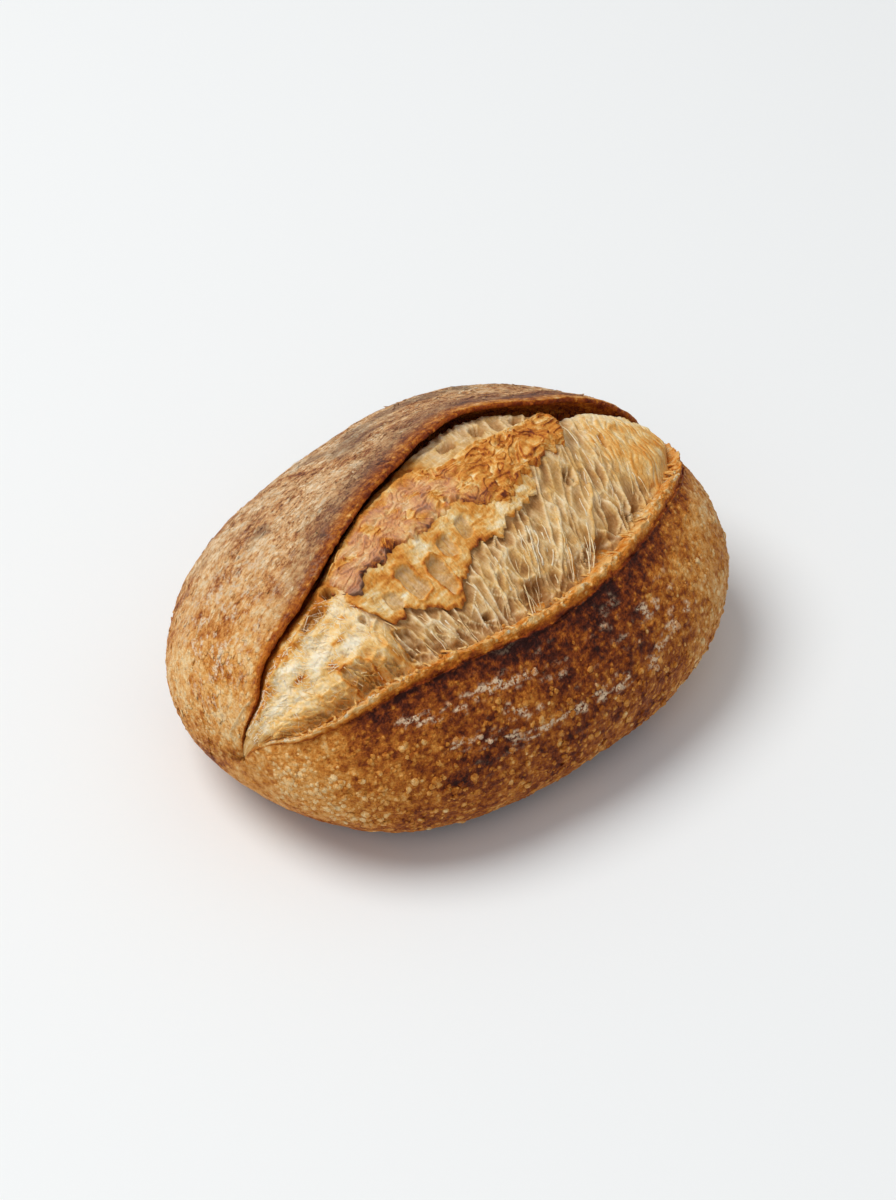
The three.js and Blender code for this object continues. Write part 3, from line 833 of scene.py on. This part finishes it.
def crumbSwell(a, f):
    # the smooth swell of the risen crumb, and how far it has sunk away under the ear
    lip, membranes = lipSmooth(a), membraneLength(a)
    rise = smooth(rimAround(a), mix(60, 75, membranes), f)
    crown = bloom["moundLift"] * mix(1, 0.1, smooth(0.5, 0.68, a))
    edge = bloom["edgeLift"] * mix(0.3, 1, smooth(0.1, 0.3, a))
    lift = mix(edge, mix(crown, bloom["hollowLift"], membranes), rise)
    lift = lift + bloom["capStep"] * smooth(-9, 3, f - capSmooth(a)) * capLength(a)
    brink = lip - mix(7.0, 0, smooth(0.2, 0.4, a)) - 5.0 * smooth(0.64, 0.72, a)
    brink = brink + 0.9 * flatNoise(paceOf(a), 2.4, 5)
    under = smooth(0, 1, (f - brink) / (creaseAround(a) - brink))
    drop = (score["creaseDepth"] + 6) * mix(0.32, 1, smooth(0.2, 0.42, a))
    return openness(a) * (lift - drop * under), under


def bend(flow):
    # the flow swayed by a few mm, so that nothing drawn along it is straight
    sway = np.stack([noise(flow, 7.0, 2, 3.3), noise(flow, 7.0, 2, 31.3), 0 * flow[..., 0]], axis=-1)
    return flow + 3.0 * sway


def hollowDepth(flow, hollows):
    # how deep each point lies in its hollow, and the raised edging round it
    depth = np.zeros(flow.shape[:-1])
    edging = np.zeros(flow.shape[:-1])
    for place, angle, halfLong, halfWide, deep in hollows:
        away = flow - flowOf(np.array(place), np.array(float(angle)))
        tilted = away[..., 0] + leanOf(place) * 0.5 * away[..., 1]
        wobble = 1 + 0.2 * noise(flow, 2.6, 2, place * 90)
        r = (np.abs(tilted / halfLong) ** 3.4 + np.abs(away[..., 1] / halfWide) ** 3.4) ** 0.294 * wobble
        depth = np.maximum(depth, deep * (1 - smooth(0.76, 1.0, r)))
        edging = np.maximum(edging, bell(r, 1.05, 0.09) * smooth(1.5, 3.0, deep))
    return depth, edging * (depth < 0.4)


def netOf(a, slant, across):
    # thin ridges in a net, and the bowls of film between them
    ridges, bowls = 0, 0
    blend = 0.015
    for start, end, long, wide, seed in bloom["nets"]:
        share = smooth(start - blend, start + blend, a) * (1 - smooth(end - blend, end + blend, a))
        edge, name = cells(slant / long, across / wide, seed)
        ridges = ridges + share * np.exp(-(edge * long / 0.75) ** 1.5) * (0.3 + 0.7 * name)
        bowls = bowls + share * smooth(0, 0.8, edge) * (0.4 + name)
    return ridges, bowls


def bloomShape(a, f):
    # the lift of the risen crumb and its colour masks
    flow = flowOf(a, f)
    rim, lip = rimAround(a), lipSmooth(a)
    opening = openness(a)
    membranes = membraneLength(a)
    bent = bend(flow)
    lift, under = crumbSwell(a, f)
    skinEdge = skinSmooth(f) + 0.014 * flatNoise(flow[..., 1], 2.2, 4)
    skin = smooth(-0.014, 0.014, a - skinEdge)
    covered = smooth(-1, 3, f - terraceSmooth(a)) * terraceLength(a)
    covered = np.maximum(covered, smooth(-1, 3, f - capSmooth(a)) * capLength(a))
    covered = covered * (1 - smooth(-12, -7, f - lip) * smooth(0.48, 0.52, a))
    calm = (1 - 0.8 * covered) * (1 - under) * opening
    lift = lift + calm * bloom["skinStep"] * skin * smooth(47, 52, f) * (1 - smooth(0.78, 0.86, a))

    # film stretched between strands, sagging in long cells
    mound = (1 - smooth(0.265, 0.31, a)) * smooth(58, 65, f + 1.5 * noise(flow, 4.0, 2, 5.0))
    height, crest, tone = layStrands(flow, strandPaths())
    slant = bent[..., 0] + leanOf(a) * (bent[..., 1] - 60 * mmPerDegree)
    ridges, bowls = netOf(a, slant, bent[..., 1])
    web = calm * (1 - 0.75 * skin) * (1 - 0.9 * mound)
    lift = lift + web * (0.65 * height + 0.4 * ridges + 0.3 - mix(1.4, 0.9, membranes) * bowls)
    gutter = bell(f, rim + 4.2, 3.6) * smooth(-0.4, 0.4, noise(flow, 4.0, 2, 44.0) + 0.2)
    undercut = bell(f - terraceSmooth(a), 0.5, 3.0) * terraceLength(a)
    lift = lift - calm * (1 - skin) * (2.2 * gutter + 1.8 * undercut) * (1 - 0.7 * crest)
    depth, edging = hollowDepth(flow, bloom["hollows"])
    # the crumb also sinks below the windows of the terrace that lies over it
    sunk, _ = hollowDepth(flow, flaps["toastedTerrace"]["windows"])
    lift = lift - 1.3 * sunk
    lift = lift + opening * (bloom["rimOfHollow"] * edging - depth * (1 - 0.75 * crest))
    ledge = bell(f - lip, -6.5, 1.8) * smooth(0.06, 0.11, a) * (1 - smooth(0.26, 0.32, a))
    lift = lift + ledge * (1.3 + 0.9 * noise(flow, 1.8, 2, 17.0))

    # fuzzy fibres on the mound and streaks at the +X end
    hair = noise(bent, (0.6, 3.0, 1.0), 2, 1.4)
    across = np.stack([bent[..., 0] + 0.5 * bent[..., 1], bent[..., 1], 0 * f], axis=-1)
    felt = noise(across, (0.7, 4.6, 1.0), 2, 21.4)
    lift = lift + calm * (0.14 * hair + mound * (1.1 * noise(flow, 4.0, 2, 6.3) + 0.5 * felt))
    drawn = np.stack([slant, bent[..., 1], 0 * f], axis=-1)
    streaks = noise(drawn, (0.9, 7.0, 1.0), 2, 4.0)
    lift = lift + calm * skin * (0.6 * streaks + 0.6 * noise(flow, 6.0, 1, 2.0))

    # toast: 0 cream, 0.3 straw, 0.55 golden, 0.8 caramel, 1 charred; under the ear it also carries painted
    # shade
    blot = noise(flow, 5.0, 2, 12.0)
    fine = noise(flow, 1.4, 2, 13.0)
    toast = 0.17 + 0.2 * blot + 0.07 * fine + 0.08 * felt
    low = (1 - smooth(57, 66, f + 2.5 * blot)) * (1 - smooth(0.27, 0.32, a))
    toast = mix(toast, 0.26 + 0.12 * blot + 0.06 * fine + 0.24 * ridges, low)
    toast = mix(toast, 0.25 + 0.06 * blot, membranes * (1 - skin))
    toast = mix(toast, 0.13 + 0.08 * blot, ridges * web * membranes)
    toast = mix(toast, tone, 0.85 * crest * web)
    toast = toast + mix(0.1, 0.34, smooth(0.34, 0.3, a)) * edging
    toast = mix(toast, 0.33 + 0.2 * streaks + 0.08 * blot, skin)
    toast = mix(toast, 0.42 + 0.16 * blot + 0.1 * fine, bell(f, rim + 0.8, 1.3))
    fringe = smooth(-10, -5, f - lip + 1.5 * fine) * smooth(0.05, 0.1, a) * (1 - smooth(0.49, 0.53, a))
    toast = mix(toast, 0.5 + 0.2 * blot + 0.14 * fine, fringe)
    cream = smooth(0.58, 0.62, a) * smooth(-13, -8, f - lip + 3 * blot)
    cream = np.maximum(cream, smooth(0.5, 0.53, a) * smooth(-7, -4, f - lip + 1.5 * blot))
    toast = mix(toast, 0.16 + 0.08 * blot + 0.1 * streaks, cream)
    spots = np.exp(-(nearLines(flow, bloom["toastedSpots"]) / 1.6) ** 2)
    toast = toast + 0.4 * spots * (0.8 + 0.4 * fine)
    # painted shade under the ear: the sunken crumb there is darkened to caramel and brown
    toast = mix(toast, mix(0.7, 0.78, smooth(0.2, 0.4, a)) + 0.12 * blot, smooth(0.25, 0.9, under))
    # painted shade: the film's own colour, darkened in the net's bowls, in the gutter by the rim, under
    # the terrace's edge, in hollows and under the windows
    hollow = web * membranes * (0.43 + 0.6 * bowls + 0.9 * gutter) * (1 - 0.9 * ridges)
    hollow = hollow + 0.6 * undercut * calm * (1 - skin) + 0.13 * depth + 0.12 * sunk
    hollow = hollow * (1 - 0.85 * crest) * (1 - 0.7 * under)
    # the -X tip is pulled in to a dark, shallow notch
    notch = 1 - smooth(0.045, 0.1, a + 0.008 * blot)
    lift = lift - 1.6 * notch * opening
    hollow = hollow + 0.35 * notch
    toast = toast + 0.14 * notch
    masks = {"toast": toast, "hollow": hollow.clip(0, 1.1), "dusty": 0 * toast, "flow": flow}
    return lift, masks


# torn flaps of toasted skin over the crumb: lower and upper line, step up, shell in mm
flaps = {
    "toastedTerrace": {
        "along": (0.298, 0.6), "stations": 320, "steps": 84, "seed": 3, "step": 0.8, "shell": 0.9,
        "lower": bloom["terraceLine"], "ragged": 1.5, "crumple": 0.5, "plates": 0.15,
        "upper": [[0.3, 80], [0.34, 83], [0.4, 83], [0.49, 82], [0.53, 77], [0.6, 80]],
        "windows": [[0.376, 70.8, 4.2, 8.4, 2.4], [0.409, 67.6, 3.7, 8.6, 2.8],
                    [0.297, 69.8, 1.5, 3.0, 3.0], [0.366, 79.4, 0.9, 1.2, 2.2],
                    [0.438, 72.4, 3.4, 5.0, 2.0], [0.47, 74.0, 3.8, 4.6, 1.5],
                    [0.344, 69.6, 3.4, 4.8, 1.4]],
        "toast": 0.35, "edgeToast": 0.2, "charred": 0.0, "dusty": 0.0,
    },
    "toastedCap": {
        "along": (0.304, 0.715), "stations": 400, "steps": 96, "seed": 2, "step": 1.4, "shell": 1.8,
        "lower": bloom["capLine"], "ragged": 1.6, "crumple": 1.0, "plates": 1.0,
        "upper": [[0.3, 88], [0.33, 92], [0.4, 98.5], [0.48, 100], [0.51, 96], [0.56, 94.5],
                  [0.62, 92.5], [0.66, 92], [0.72, 94]],
        "windows": [[0.373, 81, 0.8, 0.9, 2.0], [0.489, 80.4, 0.9, 0.9, 2.0], [0.478, 82, 1.2, 1.5, 2.0]],
        "toast": 0.42, "edgeToast": 0.1, "charred": 0.34, "dusty": 1.7,
    },
}


def makeFlap(name, flap, material):
    # one torn flap, closed over a shell's thickness
    first, last = paceOf(flap["along"])
    station = np.linspace(first, last, flap["stations"])[:, None]
    t = np.linspace(0, 1, flap["steps"])[None]
    ends = np.minimum(smooth(0, 3, station - first), smooth(0, 14, last - station))
    pace = station + 2.2 * (1 - ends) * flatNoise(45 * t, 2.2, 6)
    a = alongOf(pace)
    torn = flatNoise(pace, 1.6, flap["seed"]) + 0.8 * flatNoise(pace, 5.0, flap["seed"] + 20)
    low = lineThrough(flap["lower"])(a) + flap["ragged"] * torn * (1 - smooth(0, 0.3, t))
    f = mix(low, lineThrough(flap["upper"])(a), t)
    flow = flowOf(a, f)
    bent = bend(flow)
    swell, _ = crumbSwell(a, f)

    # crumpled skin, lying in overlapping plates with torn steps between them
    crumple = wrinkles(bent, (6.0, 1.9, 1.0), 3, 3.0)
    finer = wrinkles(bent, (1.8, 0.7, 1.0), 2, 9.0)
    layer = 2.2 * noise(bent, (7.0, 3.2, 1.0), 2, 3.7 + flap["seed"])
    part = layer - np.floor(layer)
    plates = part ** 0.7 * (1 - smooth(0.84, 1.0, part))
    depth, edging = hollowDepth(flow, flap["windows"])
    solid = smooth(0, 0.05, t) * ends
    rough = flap["crumple"] * (0.6 * crumple + 0.35 * finer + 1.1 * noise(flow, 4.5, 3, 8.1))
    rough = rough + flap["plates"] * plates
    lift = swell + flap["step"] * mix(0.5, 1, smooth(0, 0.04, t)) + solid * rough
    lift = lift - depth + 0.9 * edging * solid
    buried = np.maximum(smooth(0.86, 1.0, t), 1 - ends)
    lift = mix(lift, swell - 1.6, buried)

    blot = noise(flow, 5.0, 2, 12.0)
    fine = noise(flow, 1.4, 2, 13.0)
    caramel = smooth(0.46, 0.53, a)
    fibre = noise(bent, (3.4, 0.8, 1.0), 3, 18.0)
    tone = flap["toast"] + 0.18 * blot + 0.1 * fine + 0.12 * fibre + 0.04 * caramel
    tone = tone + mix(0.18, 0.24, caramel) * flap["crumple"] * (crumple - 0.3)
    tone = tone + flap["plates"] * (0.26 * bell(part, 0.84, 0.08) - 0.16 * bell(part, 0, 0.16))
    wayIn = (f - low) * 1.2
    tone = tone - 0.12 * caramel * (flap["plates"] < 0.5)
    tone = tone + flap["edgeToast"] * bell(wayIn, 0.4, 1.0) * (1 + 0.9 * blot) * (1 - 0.7 * caramel)
    tone = tone + 0.26 * edging
    tone = tone + flap["charred"] * (1 - smooth(0.36, 0.44, a)) * bell(wayIn, 0.6, 1.6)
    pane = noise(bent, (1.0, 6.0, 1.0), 2, 27.0)
    inWindow = smooth(0.3, 1.2, depth)
    tone = mix(tone, 0.24 + 0.08 * blot + 0.14 * pane, inWindow)
    lift = lift + 0.35 * pane * inWindow
    tone = mix(tone, 0.2 + 0.08 * blot, smooth(0.75, 0.95, t) * caramel)
    tone = mix(tone, 0.42 + 0.2 * blot + 0.1 * fine, smooth(0.72, 0.9, t) * (1 - caramel))
    dusty = flap["dusty"] * (1 - caramel) * smooth(-0.6, 0.2, noise(flow, 4.0, 2, 15.0))
    dusty = (dusty * (1 - smooth(0.65, 0.85, t)) * (1 - 0.8 * bell(wayIn, 0, 2.0))).clip(0, 1)
    # the windows' film colour, with painted shade deeper in
    hollow = (0.52 - 0.25 * pane) * smooth(0.4, 1.4, depth)

    # the underside lies a shell lower, so that the torn edge overhangs
    back = np.linspace(flap["steps"] - 1, 0, 12).astype(int)
    below = np.minimum(lift[:, back] - flap["shell"], swell[:, back] - 0.8)
    tuck = f[:, back] + 0.8 * bell(t[:, back], 0, 0.04)
    points = np.concatenate([loafPoint(a, f, lift), loafPoint(a[:, back], tuck, below)], axis=1)
    masks = {"toast": tone, "hollow": hollow, "dusty": dusty, "flow": flow}
    masks = {key: withEnds(np.concatenate([values, values[:, back]], axis=1))
             for key, values in masks.items()}
    makePiece(name, withEnds(points), loftFaces(*points.shape[:2]), masks, material)


def tornCrumbMaterial():
    # torn sourdough crumb: soft, faintly see-through gluten film, toasted where it stood proud
    material, tree = newMaterial("tornSourdoughCrumb")
    place, sheet, drawn = sheetsOf(tree, ("toast", "hollow", "dusty"), (1, 0.2, 1))
    # fibres 0.3 mm wide and five times as long run crosswise; blots of 3 mm; grain of 0.5 mm
    fibres = addNode(tree, "TexNoise", {}, {"Vector": drawn, "Scale": 1.5, "Detail": 4, "Roughness": 0.6,
                                            "Distortion": 0.7})
    blots = addNode(tree, "TexNoise", {}, {"Vector": place, "Scale": 180, "Detail": 4, "Roughness": 0.62})
    grain = addNode(tree, "TexNoise", {}, {"Vector": place, "Scale": 1000, "Detail": 2})
    level = sheet["toast"]
    for pattern, share in ((blots, 0.45), (fibres, 0.36), (grain, 0.14), (1.0, -0.475)):
        level = addNode(tree, "Math", {"operation": "MULTIPLY_ADD"}, {0: pattern, 1: share, 2: level})
    colour = addNode(tree, "ValToRGB", {"stops": [
        (0.0, "#fff2d6"), (0.14, "#fae0ae"), (0.28, "#f0c378"), (0.44, "#e29c42"),
        (0.6, "#c67422"), (0.76, "#914411"), (0.9, "#5a2109"), (1.0, "#360e05")]}, {"Fac": level})
    film = addNode(tree, "ValToRGB", {"stops": [
        (0.0, "#d8ad76"), (0.3, "#a97842"), (0.6, "#764920"), (1.0, "#472508")]}, {"Fac": level})
    dusted = addNode(tree, "Math", {"operation": "MULTIPLY"}, {0: sheet["dusty"], 1: blots})
    # the film ramp: the gluten film's own colour, darkened with painted shade in hollows
    for share, over in ((sheet["hollow"], film), (dusted, hexColour("#dba886"))):
        colour = addNode(tree, "Mix", {"data_type": "RGBA"}, {"Factor": share, "A": colour, "B": over})
    height = addNode(tree, "Math", {"operation": "MULTIPLY_ADD"}, {0: fibres, 1: 1.2, 2: grain})
    bump = addNode(tree, "Bump", {}, {"Strength": 0.7, "Distance": 0.0007, "Height": height})
    shader = addNode(tree, "BsdfPrincipled", {}, {
        "Base Color": colour, "Roughness": 0.62, "IOR": 1.42, "Normal": bump,
        "Specular IOR Level": 0.3, "Subsurface Weight": 0.12,
        "Subsurface Radius": (1.0, 0.7, 0.4), "Subsurface Scale": 0.0015})
    addNode(tree, "OutputMaterial", {}, {"Surface": shader})
    return material


def bloomEdges(along):
    return rimAround(along) + bloom["pastRim"], creaseAround(along) + bloom["pastCrease"]


def makeBloom(material):
    # the crumb over a floor inside the crust, then the flaps; gives back the crumb's upper points
    along = evenStations(bloom["stations"], bloom["tipGap"])[:, None]
    start, end = bloomEdges(along)
    t = np.linspace(0, 1, bloom["steps"])[None]
    around = mix(start, end, t)
    a = along + 0 * around
    lift, masks = bloomShape(a, around)
    points = loafPoint(a, around, lift)
    floorLift = -(score["channelDepth"] + 8) * openness(along) - 3
    floorLift = np.minimum(floorLift, lift.min(axis=1, keepdims=True) - 2)
    bottom = loafPoint(np.hstack([along, along]), np.hstack([end, start]),
                       np.hstack([floorLift, floorLift]))
    points = np.concatenate([points, bottom], axis=1)
    masks = {name: withEnds(np.concatenate([values, values[:, -1:], values[:, :1]], axis=1))
             for name, values in masks.items()}
    makePiece("bloomCrumb", withEnds(points), loftFaces(*points.shape[:2]), masks, material)
    for name, flap in flaps.items():
        makeFlap(name, flap, material)
    return points[:, :bloom["steps"]]


# scattered bits: how many, the range of their half-length in mm, and the ranges of half-width
# and height as shares of it; threads by kind, then their sides and rings
bits = {
    "blisters": {"count": 1500, "long": (0.5, 1.8), "wide": (0.75, 1.0), "high": (0.24, 0.42)},
    "flakes": {"count": 1900, "long": (0.8, 2.6), "wide": (0.24, 0.5), "high": (0.05, 0.09)},
    "rimCrumbs": {"count": 120, "long": (0.3, 0.9), "wide": (0.7, 1.0), "high": (0.4, 0.8)},
    "threads": {"web": 80, "teeth": 36, "felt": 800, "lace": 150, "sides": 5, "rings": 7},
}


def skinLift(a, around):
    # the lift of the crust's outer skin away from the score
    t = ((around - lipSmooth(a)) / score["earRoot"]).clip(0, 1) ** (1 / 1.4)
    raised = np.where(around > lipSmooth(a), earLift(a) * (1 - smooth(0, 1, t)), 0)
    return raised + crustRelief(a, around, bodyPoint(a, around))


def scatterBits(name, dice, a, around, lift, masks, lean, material):
    # one squashed, knobbly dome for each place, closed below
    bit = bits[name]
    count = len(a)
    turns = -np.radians(np.arange(8) * 45)
    rings = [(1.0, -0.5), (0.96, 0.3), (0.62, 0.85)]
    shape = [[[r * np.cos(turn), r * np.sin(turn), h] for turn in turns] for r, h in rings]
    shape = np.concatenate([np.reshape(shape, (-1, 3)), [[0, 0, -0.7], [0, 0, 1.0]]])
    long = dice.uniform(0, 1, count) ** 2 * (bit["long"][1] - bit["long"][0]) + bit["long"][0]
    size = np.stack([long, long * dice.uniform(*bit["wide"], count),
                     long * dice.uniform(*bit["high"], count)], axis=-1)
    shape = shape[None] * (1 + 0.16 * dice.normal(size=(count, len(shape), 1)))
    local = shape * size[:, None]
    turn = dice.normal(0, lean[0], count) + lean[1]
    tip = dice.normal(0, 0.12, count)
    spun = np.stack([local[..., 0] * np.cos(turn)[:, None] - local[..., 1] * np.sin(turn)[:, None],
                     local[..., 0] * np.sin(turn)[:, None] + local[..., 1] * np.cos(turn)[:, None],
                     local[..., 2] + local[..., 0] * tip[:, None]], axis=-1)
    _, lengthwise, crosswise, outward = bodyFrame(a, around)
    axes = np.stack([lengthwise, crosswise, outward], axis=1)
    points = loafPoint(a, around, lift)[:, None] + np.einsum("nvk,nkc->nvc", spun, axes)
    makeMany(name, points, len(rings), 8, masks, a, around, material)


def makeMany(name, points, rings, size, masks, a, around, material):
    # all bits of one kind as one piece; points has a row for each bit
    count, each = points.shape[:2]
    faces = loftFaces(rings, size)
    allFaces = [[corner + i * each for corner in face] for i in range(count) for face in faces]
    spread = {key: np.repeat(values, each) for key, values in masks.items()}
    flow = np.repeat(flowOf(a, around)[:, None], each, axis=1)
    flow[..., :2] += (points - points.mean(axis=1, keepdims=True))[..., :2]
    spread["flow"] = flow.reshape(-1, 3)
    makePiece(name, points.reshape(-1, 3), allFaces, spread, material)


def bitMasks(a, around, bakeShift):
    # the skin's own masks, painted shade along the base included, with the bake shifted; makeMany adds the
    # flow
    masks = skinMasks(a, around, bodyPoint(a, around))
    masks["bake"] = masks["bake"] + bakeShift
    masks["torn"] = 0 * a
    del masks["flow"]
    return masks


def crumbMasks(toast):
    return {"toast": toast, "hollow": 0 * toast, "dusty": 0 * toast}


def makeBits(skinMaterial, crumbMaterial, surface):
    dice = np.random.default_rng(5)
    # blisters on the near wall and both ends, turned any way
    a = dice.uniform(0.04, 0.97, bits["blisters"]["count"])
    around = dice.uniform(-34, 1, len(a)) + dice.uniform(0, 1, len(a)) * (rimAround(a) - 8)
    lift = skinLift(a, around + 360) - 0.1
    masks = bitMasks(a, around + 360, -dice.uniform(0.04, 0.32, len(a)))
    scatterBits("blisters", dice, a, around, lift, masks, (1.5, 0.0), skinMaterial)

    # flakes drawn out along the far side
    a = dice.uniform(0.04, 0.97, bits["flakes"]["count"])
    around = lipSmooth(a) + 3 + dice.uniform(0, 1, len(a)) * (222 - lipSmooth(a))
    lift = skinLift(a, around) + 0.04
    masks = bitMasks(a, around, dice.uniform(-0.3, 0.1, len(a)))
    scatterBits("flakes", dice, a, around, lift, masks, (0.28, 0.1), skinMaterial)

    # crumbs along the torn rim's crest
    a = dice.uniform(0.06, 0.9, bits["rimCrumbs"]["count"])
    around = rimAround(a) + dice.normal(0.2, 0.7, len(a))
    lift = 1.6 * openness(a) - 0.9 * np.abs(around - rimAround(a) - 0.2)
    masks = crumbMasks(dice.uniform(0.34, 0.56, len(a)))
    scatterBits("rimCrumbs", dice, a, around, lift, masks, (1.5, 0.0), crumbMaterial)
    makeThreads(dice, surface, crumbMaterial)


def makeThreads(dice, surface, material):
    # threads of gluten: across the web, off the rim and over the mound
    bit = bits["threads"]
    stations = evenStations(bloom["stations"], bloom["tipGap"])
    start, end = bloomEdges(stations)

    def onCrumb(a, f):
        i = np.searchsorted(stations, a).clip(0, len(stations) - 1)
        j = np.round((f - start[i]) / (end[i] - start[i]) * (bloom["steps"] - 1)).astype(int)
        return surface[i, j.clip(0, bloom["steps"] - 1)]

    starts, stops, radii, shades, places = [], [], [], [], []

    def add(a, f, p, q, radius, tone):
        starts.append(p)
        stops.append(q)
        radii.append(radius)
        shades.append(tone)
        places.append(np.stack([a, f], axis=-1))

    def pick(number, low, high):
        return dice.uniform(low, high, number)

    n = bit["web"]
    a = pick(n, 0.31, 0.73)
    f = pick(n, rimAround(a) + 7, np.minimum(terraceSmooth(a) + 4 * (a > 0.56) + 14 * (a > 0.58), 86))
    length = pick(n, 4, 12)
    a2 = a + leanOf(a) * length * 0.0036 + dice.normal(0, 0.004, n)
    f2 = np.maximum(f - length / 1.2, rimAround(a) + 1)
    add(a, f, onCrumb(a, f), onCrumb(a2, f2), pick(n, 0.12, 0.26), pick(n, 0.04, 0.22))

    n = bit["teeth"]
    a = pick(n, 0.1, 0.88)
    f = rimAround(a) + pick(n, 1.6, 3.4)
    a2 = a + leanOf(a) * 0.006 + dice.normal(0, 0.003, n)
    top = loafPoint(a2, rimAround(a2) + pick(n, -0.2, 0.6), 1.0 * openness(a2))
    add(a, f, onCrumb(a, f), top, pick(n, 0.3, 0.6), pick(n, 0.2, 0.42))

    # felt along the mound's upper edge, lace lower down
    for name, bottom, top, lengths, thick, tones in (
            ("felt", 64, 4, (1.5, 5.0), (0.08, 0.15), (0.0, 0.12)),
            ("lace", 51, 24, (2, 5), (0.09, 0.17), (0.14, 0.32))):
        n = bit[name]
        a = pick(n, 0.05, 0.3)
        f = bottom + dice.uniform(0, 1, n) * (lipSmooth(a) - top - bottom)
        heading, length = dice.normal(1.9, 0.7, n), pick(n, *lengths)
        a2 = (a + np.cos(heading) * length * 0.004).clip(0.02, 0.98)
        f2 = (f + np.sin(heading) * length / 1.15).clip(rimAround(a2) + 1, lipSmooth(a2) - 2)
        add(a, f, onCrumb(a, f), onCrumb(a2, f2), pick(n, *thick), pick(n, *tones))

    p, q = np.concatenate(starts), np.concatenate(stops)
    radius, tone = np.concatenate(radii), np.concatenate(shades)
    a, f = np.concatenate(places).T
    _, _, _, outward = bodyFrame(a, f)
    t = np.linspace(0, 1, bit["rings"])[None, :, None]
    length = np.linalg.norm(q - p, axis=-1)
    bow = (0.1 * length * dice.uniform(0.2, 1.2, len(a)))[:, None, None]
    sag = bow * 4 * t * (1 - t) * outward[:, None] - 0.2 * outward[:, None]
    way = (q - p) / length[:, None]
    side = np.cross(way, outward)
    side /= np.linalg.norm(side, axis=-1, keepdims=True)
    sway = (0.14 * length * dice.normal(0, 1, len(a)))[:, None, None] * np.sin(2.5 * np.pi * t) * t
    spine = mix(p[:, None], q[:, None], t) + sag + sway * (1 - t) * side[:, None]
    up = np.cross(side, way)
    waist = radius[:, None, None] * (1 + 1.1 * np.abs(2 * t - 1) ** 3)
    turns = np.radians(np.arange(bit["sides"]) * 360 / bit["sides"])
    tube = spine[:, :, None] + waist[..., None] * (
        np.cos(turns)[None, None, :, None] * side[:, None, None] +
        0.7 * np.sin(turns)[None, None, :, None] * up[:, None, None])
    tube = tube.reshape(len(a), -1, 3)
    points = np.concatenate([tube, spine[:, :1], spine[:, -1:]], axis=1)
    makeMany("threads", points, bit["rings"], bit["sides"], crumbMasks(tone), a, f, material)


# floor's half-size in metres; panels: place and width in metres, watts, colour
lights = {
    "floorSize": 6.0,
    "surround": 0.42,
    "panels": {
        "windowSide": ((-1.0, 1.35, 3.35), 2.4, 97.0, "#fffefc"),
        "frontFill": ((-2.2, -0.9, 1.9), 1.8, 7.0, "#ffffff"),
    },
}


def makeStudio():
    # a pale floor that runs far past the view, a broad soft light and an even surround
    size = lights["floorSize"]
    mesh = bpy.data.meshes.new("floor")
    mesh.from_pydata([(-size, -size, 0), (size, -size, 0), (size, size, 0), (-size, size, 0)],
                     [], [(0, 1, 2, 3)])
    material, tree = newMaterial("mattPaintedFloor")
    tint = addNode(tree, "TexNoise", {}, {"Scale": 0.6, "Detail": 2})
    paint = addNode(tree, "ValToRGB", {"stops": [(0.0, "#eff2f2"), (1.0, "#f3f5f5")]}, {"Fac": tint})
    shader = addNode(tree, "BsdfPrincipled", {}, {"Base Color": paint, "Roughness": 0.85,
                                                  "Specular IOR Level": 0.2})
    addNode(tree, "OutputMaterial", {}, {"Surface": shader})
    mesh.materials.append(material)
    plane = bpy.data.objects.new("floor", mesh)
    bpy.context.scene.collection.objects.link(plane)

    world = bpy.data.worlds.new("softSurround")
    world.use_nodes = True
    surround = world.node_tree.nodes["Background"].inputs
    surround["Color"].default_value = hexColour("#fbfbff")
    surround["Strength"].default_value = lights["surround"]
    bpy.context.scene.world = world
    for name, (place, width, power, colour) in lights["panels"].items():
        lamp = bpy.data.lights.new(name, "AREA")
        lamp.shape = "DISK"
        lamp.size = width
        lamp.energy = power
        lamp.color = hexColour(colour)[:3]
        panel = bpy.data.objects.new(name, lamp)
        panel.location = place
        aim = Vector((0, 0, 0.05)) - Vector(place)
        panel.rotation_euler = aim.to_track_quat("-Z", "Y").to_euler()
        bpy.context.scene.collection.objects.link(panel)
    bpy.context.scene.view_settings.view_transform = "Standard"
    print("studio: floor, surround and", len(lights["panels"]), "panels")


# angles in degrees; lens and all lengths in mm
view = {
    "azimuth": -49.7,
    "elevation": 42.0,
    "distance": 1132.6,
    "lens": 85.0,
    "sensor": 36.0,
    "aim": (0, 0, 47.3),
    "nudgeRight": 1.68,
    "nudgeUp": -5.35,
}


def makeCamera():
    camera = bpy.data.cameras.new("camera")
    camera.lens = view["lens"]
    camera.sensor_width = view["sensor"]
    a, e = np.radians(view["azimuth"]), np.radians(view["elevation"])
    back = np.array([np.sin(a) * np.cos(e), -np.cos(a) * np.cos(e), np.sin(e)])
    right = np.array([np.cos(a), np.sin(a), 0])
    up = np.cross(back, right)
    aim = np.array(view["aim"]) + view["nudgeRight"] * right + view["nudgeUp"] * up + centring
    holder = bpy.data.objects.new("camera", camera)
    holder.location = (aim + view["distance"] * back) * mm
    holder.rotation_mode = "QUATERNION"
    holder.rotation_quaternion = Vector(-back).to_track_quat("-Z", "Y")
    bpy.context.scene.collection.objects.link(holder)
    bpy.context.scene.camera = holder


makeCamera()
makeStudio()
skinMaterial = bakedSkinMaterial()
crumbMaterial = tornCrumbMaterial()
makeCrust(skinMaterial)
crumbSurface = makeBloom(crumbMaterial)
makeBits(skinMaterial, crumbMaterial, crumbSurface)
